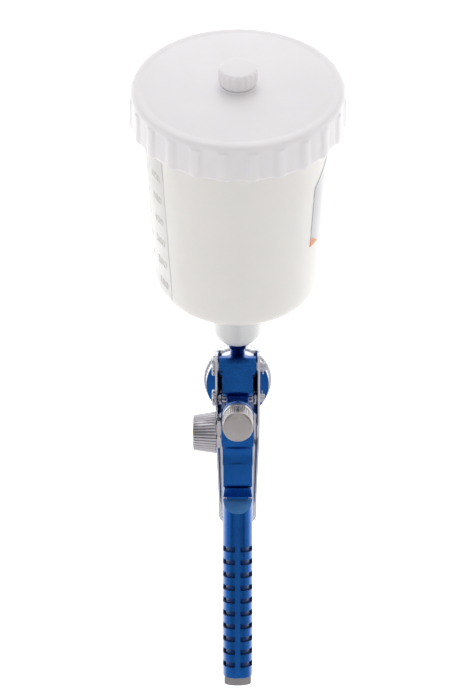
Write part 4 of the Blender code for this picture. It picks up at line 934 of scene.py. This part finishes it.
# %% Label
LABEL_LOW, LABEL_HIGH = 133.5, 187.5
LABEL_HALF = math.radians(29.0) * 49.5
LABEL_ANGLE = math.radians(-5.5)
label = bmesh.new()
flat_block(label, (-LABEL_HALF, LABEL_LOW), (LABEL_HALF, LABEL_HIGH), 32, (0.03, 0.25))
bmesh.ops.recalc_face_normals(label, faces=label.faces)
print_map = label.loops.layers.uv.new("Print")
for face in label.faces:
    for loop in face.loops:
        loop[print_map].uv = ((loop.vert.co.x + LABEL_HALF) / (2 * LABEL_HALF),
                              (loop.vert.co.y - LABEL_LOW) / (LABEL_HIGH - LABEL_LOW))
for vert in label.verts:
    if vert.co.y > (LABEL_LOW + LABEL_HIGH) / 2:
        vert.co.y -= 24.0 * max(0.0, -0.45 - vert.co.x / LABEL_HALF)
new_piece("printed_label", wrap(label, LABEL_ANGLE), PORT, "cup", film, "cup_label")

# %% [markdown]
# ## Collar, lid and vent cap
# The collar is the white nut that screws the cup to the gun: plain, glossy, with a round shoulder below.

# %% Collar
new_piece("screw_collar", spun([
    (11.2, 73.5), (14.0, 73.5), (14.6, 72.9), (14.6, 52.0), (14.4, 50.0), (13.8, 48.0), (12.8, 46.3),
    (11.4, 44.9), (9.9, 44.0), (8.4, 43.6), (6.1, 43.6), (5.75, 44.0), (5.75, 55.8), (11.2, 55.8)], 96),
    PORT, "cup", collar_white, "cup_collar")

# %% [markdown]
# The lid is a wide shallow cap. Its skirt has twenty-four raised grips that reach a little below the rim,
# so the lower edge is scalloped. Each grip takes 5 of the 12 columns of its share of the circle, and those
# columns are pushed out and down, the outer two only half as far. A shallow step runs round the top.

# %% Lid
RIBS = 24
COLUMNS = 12
RIB_SHAPE = {4: 0.55, 5: 1.0, 6: 1.0, 7: 1.0, 8: 0.55}
RIB_TOP = 219.3
RIB_LIFT = 0.95
RIB_DROP = 0.55
lid = spun([
    (1.5, 229.2), (5.7, 229.2), (6.0, 228.9), (6.0, 224.0), (9.4, 224.0), (9.6, 223.8), (9.6, 223.2),
    (10.0, 222.8), (51.6, 222.8), (52.0, 222.68), (52.5, 222.68), (52.9, 222.8), (55.2, 222.8), (56.4, 222.5),
    (57.3, 221.8), (57.9, 220.6), (58.0, 219.7), (58.02, 219.2), (58.05, 218.3), (58.4, 203.2),
    (58.45, 202.5), (58.2, 201.8), (57.6, 201.7), (55.4, 201.7), (55.4, 218.9), (54.4, 219.8),
    (1.5, 219.8)], RIBS * COLUMNS)
for vert in lid.verts:
    height = vert.co.z / MM
    reach = math.hypot(vert.co.x, vert.co.y) / MM
    column = round(math.atan2(vert.co.y, vert.co.x) / (2 * math.pi) * RIBS * COLUMNS) % COLUMNS
    lift = RIB_SHAPE.get(column, 0.0)
    if 201.2 < height < RIB_TOP and reach > 57.0 and lift:
        rise = min(1.0, RIB_TOP - height)
        vert.co.xy *= (reach + RIB_LIFT * lift * rise) / reach
        if height < 203.7:
            vert.co.z -= RIB_DROP * lift * MM
new_piece("ribbed_lid", lid, PORT, "lid", lid_white, "cup_lid", angle=30.0)

# %% [markdown]
# The vent cap screws on the boss in the middle of the lid. Its edge is scalloped for the fingers: eighteen
# rounded lobes, drawn in by a cosine of the angle.

# %% Vent cap
LOBES = 18
LOBE_DEPTH = 0.45
vent = spun([
    (0, 234.2), (8.2, 234.2), (9.2, 234.0), (9.9, 233.5), (10.5, 232.6), (10.6, 231.8), (10.6, 226.6),
    (10.4, 226.0), (9.4, 225.6), (9.2, 225.3), (9.2, 224.3), (6.4, 224.3), (6.4, 231.8), (0, 231.8)],
    LOBES * 10, closed=False)
for vert in vent.verts:
    height = vert.co.z / MM
    reach = math.hypot(vert.co.x, vert.co.y) / MM
    if height > 225.8 and reach > 9.3:
        press = LOBE_DEPTH * (1.0 - math.cos(LOBES * math.atan2(vert.co.y, vert.co.x))) / 2
        vert.co.xy *= (reach - press) / reach
new_piece("scalloped_vent_cap", vent, PORT, "vent", lid_white, "vent_cap", angle=40.0)

# %% [markdown]
# ## Pieces that keep their CAD shape
# Needle, nozzle, strainer, seats and seals are right as they are. Their meshes are loose triangles, so a
# Weld modifier joins them and an Edge Split keeps the sharp edges sharp. Each then gets its finish.

# %% Finishes for the CAD shapes
kept = {
    "fluid_nozzle": stainless, "fluid_needle": stainless, "nozzle_seal": seal_white,
    "air_distribution_ring": seal_white, "needle_collar": brass, "needle_packing": seal_white,
    "needle_guide_sleeve": brass, "inlet_gasket": rubber, "lid_gasket": seal_white,
    "vent_disc": seal_white, "air_valve_disc": rubber, "air_valve_packing": seal_white,
    "air_valve_seat": brass_valve, "air_valve_stem": stainless,
    "cup_strainer": strainer_nylon, "fan_valve_stem": nickel_fan, "fan_valve_seal": rubber}
for name, material in kept.items():
    node = nodes[name]
    node.material_slots[0].material = material
    node.data.polygons.foreach_set("use_smooth", [True] * len(node.data.polygons))
    weld = node.modifiers.new("Weld", "WELD")
    weld.merge_threshold = 0.002 * MM
    split = node.modifiers.new("Sharp", "EDGE_SPLIT")
    split.split_angle = math.radians(35)
print("kept CAD shapes:", len(kept))

# %% [markdown]
# The two springs shorten as the trigger is pulled, each against its rear seat. Here each is rebuilt from its
# CAD coils, welded, and hung on the gun as it stands. A row of SPRINGS gives, after the two names, the seat
# along the gun, the free length, the travel and the height of the spring's axis, in mm.

# %% Springs from their CAD coils
SPRINGS = (("needle_return_spring", "needle_spring", -74.1, 20.7, 4.1, 0),
           ("valve_return_spring", "air_valve_spring", -59.6, 15, 11.6, -36))
for name, node, seat, length, travel, height in SPRINGS:
    coils = bmesh.new()
    coils.from_mesh(nodes[node].data)
    bmesh.ops.remove_doubles(coils, verts=coils.verts, dist=0.002 * MM)
    spring = new_piece(name, coils, nodes[node].matrix_world, "gun", wire, node, angle=60.0)
    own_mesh(spring)

# %% [markdown]
# ## Studio
# The gun is shown upright, as someone sees it who stands behind it and looks down at it a little: the
# camera is 1.2 m away, 14 degrees above the level. A long lens keeps the cup and the inlet in true
# proportion.

# %% Camera
PITCH = math.radians(14.0)
lens = bpy.data.cameras.new("camera")
lens.lens = 102.86
lens.sensor_fit = "VERTICAL"
lens.sensor_height = 36.0
lens.clip_start = 0.05
camera = bpy.data.objects.new("camera", lens)
camera.location = (-1.3 * MM, -1.1838, 0.3199)
camera.rotation_euler = (math.pi / 2 - PITCH, 0.0, 0.0)
bpy.context.scene.collection.objects.link(camera)
bpy.context.scene.camera = camera
print("camera at", [round(v, 3) for v in camera.location])

# %% [markdown]
# A sweep of white card is floor and background in one, so no horizon shows behind the gun. The floor is
# well below it, as the gun hangs in the air. Behind the gun the card glows as if lamps stood behind it,
# which keeps it white. Under the gun it doesn't, because that light would fill the cup from below.

# %% Sweep of card
card, tree, shader, place = new_material("white_card_matt", Roughness=0.9, Emission_Strength=0.8)
mottle = add_node(tree, "ShaderNodeTexNoise", {"Vector": place, "Scale": 3.0, "Detail": 2.0})
paper = blend(tree, mottle.outputs["Fac"], "F7F7F7", "FBFBFB")
depth = add_node(tree, "ShaderNodeSeparateXYZ", {"Vector": place}).outputs["Y"]
behind = add_node(tree, "ShaderNodeMapRange", {"Value": depth, "From Min": 0.1, "From Max": 0.45})
tree.links.new(paper, shader.inputs["Base Color"])
tree.links.new(blend(tree, behind.outputs["Result"], "000000", paper), shader.inputs["Emission Color"])
sweep = bmesh.new()
FLOOR = -0.42
profile = [sweep.verts.new(point) for point in ((-6, -4, FLOOR), (-6, 3.5, FLOOR), (-6, 3.5, 4.5))]
for pair in zip(profile, profile[1:]):
    sweep.edges.new(pair)
pushed = bmesh.ops.extrude_edge_only(sweep, edges=sweep.edges[:])["geom"]
bmesh.ops.translate(sweep, verts=corners(pushed), vec=(12, 0, 0))
bend = [edge for edge in sweep.edges if len(edge.link_faces) == 2]
bevel_edges(sweep, bend, 1500.0, 16)
bmesh.ops.recalc_face_normals(sweep, faces=sweep.faces)
backdrop = to_object("sweep_of_card", sweep)
backdrop.data.shade_smooth()
backdrop.data.materials.append(card)
print("sweep:", len(backdrop.data.polygons), "faces")

# %% [markdown]
# Soft light: one large box above and a little toward the camera, one on each side for the long highlights
# on the chrome, and a pale room. Chrome and anodised metal show the room more than the lights, so the room
# is darker behind the camera than ahead of it, and a dark band stands on each side. Those bands are what
# draws the dark lines down the polished edges.

# %% Lights
def softbox(name, place, target, size, power):
    """A rectangular soft light at place that faces target."""
    data = bpy.data.lights.new(name, "AREA")
    data.shape = "RECTANGLE"
    data.size, data.size_y = size
    data.energy = power
    item = bpy.data.objects.new(name, data)
    item.location = place
    item.rotation_euler = (Vector(target) - Vector(place)).to_track_quat("-Z", "Y").to_euler()
    bpy.context.scene.collection.objects.link(item)
    return item


softbox("top", (0.0, -0.3, 1.6), (0.0, -0.05, 0.0), (1.6, 1.2), 4.5)
softbox("left", (-1.5, -0.5, 0.5), (0.0, -0.05, 0.05), (0.5, 1.4), 2.5)
softbox("right", (1.5, -0.3, 0.5), (0.0, -0.05, 0.05), (0.5, 1.4), 2.5)
world = bpy.data.worlds.new("pale_room")
bpy.context.scene.world = world
world.use_nodes = True
tree = world.node_tree
tree.nodes.clear()
sky = add_node(tree, "ShaderNodeTexCoord")
axes = add_node(tree, "ShaderNodeSeparateXYZ", {"Vector": sky.outputs["Generated"]})
level = add_node(tree, "ShaderNodeMapRange", {"Value": axes.outputs["Y"], "From Min": -1.0, "From Max": 0.7,
                                              "To Min": 0.58, "To Max": 1.0}, interpolation_type="SMOOTHSTEP")
across = add_node(tree, "ShaderNodeMath", {0: axes.outputs["X"]}, operation="ABSOLUTE")
bands = add_node(tree, "ShaderNodeValToRGB", {"Fac": across.outputs["Value"]})
ROOM_TONES = ((0.0, 1.0), (0.12, 0.95), (0.32, 0.70), (0.55, 0.66), (0.68, 0.22), (0.82, 0.22), (0.92, 0.80))
for reach, grey in ROOM_TONES:
    stop = bands.color_ramp.elements[0] if reach == 0.0 else bands.color_ramp.elements.new(reach)
    stop.color = (grey, grey, grey, 1.0)
ROOM_GAIN = 1.4
gain = add_node(tree, "ShaderNodeMath", {0: level.outputs["Result"], 1: ROOM_GAIN}, operation="MULTIPLY")
shade = add_node(tree, "ShaderNodeBackground", {"Color": bands.outputs["Color"],
                                                "Strength": gain.outputs["Value"]})
add_node(tree, "ShaderNodeOutputWorld", {"Surface": shade.outputs["Background"]})
bpy.context.scene.view_settings.view_transform = "Standard"
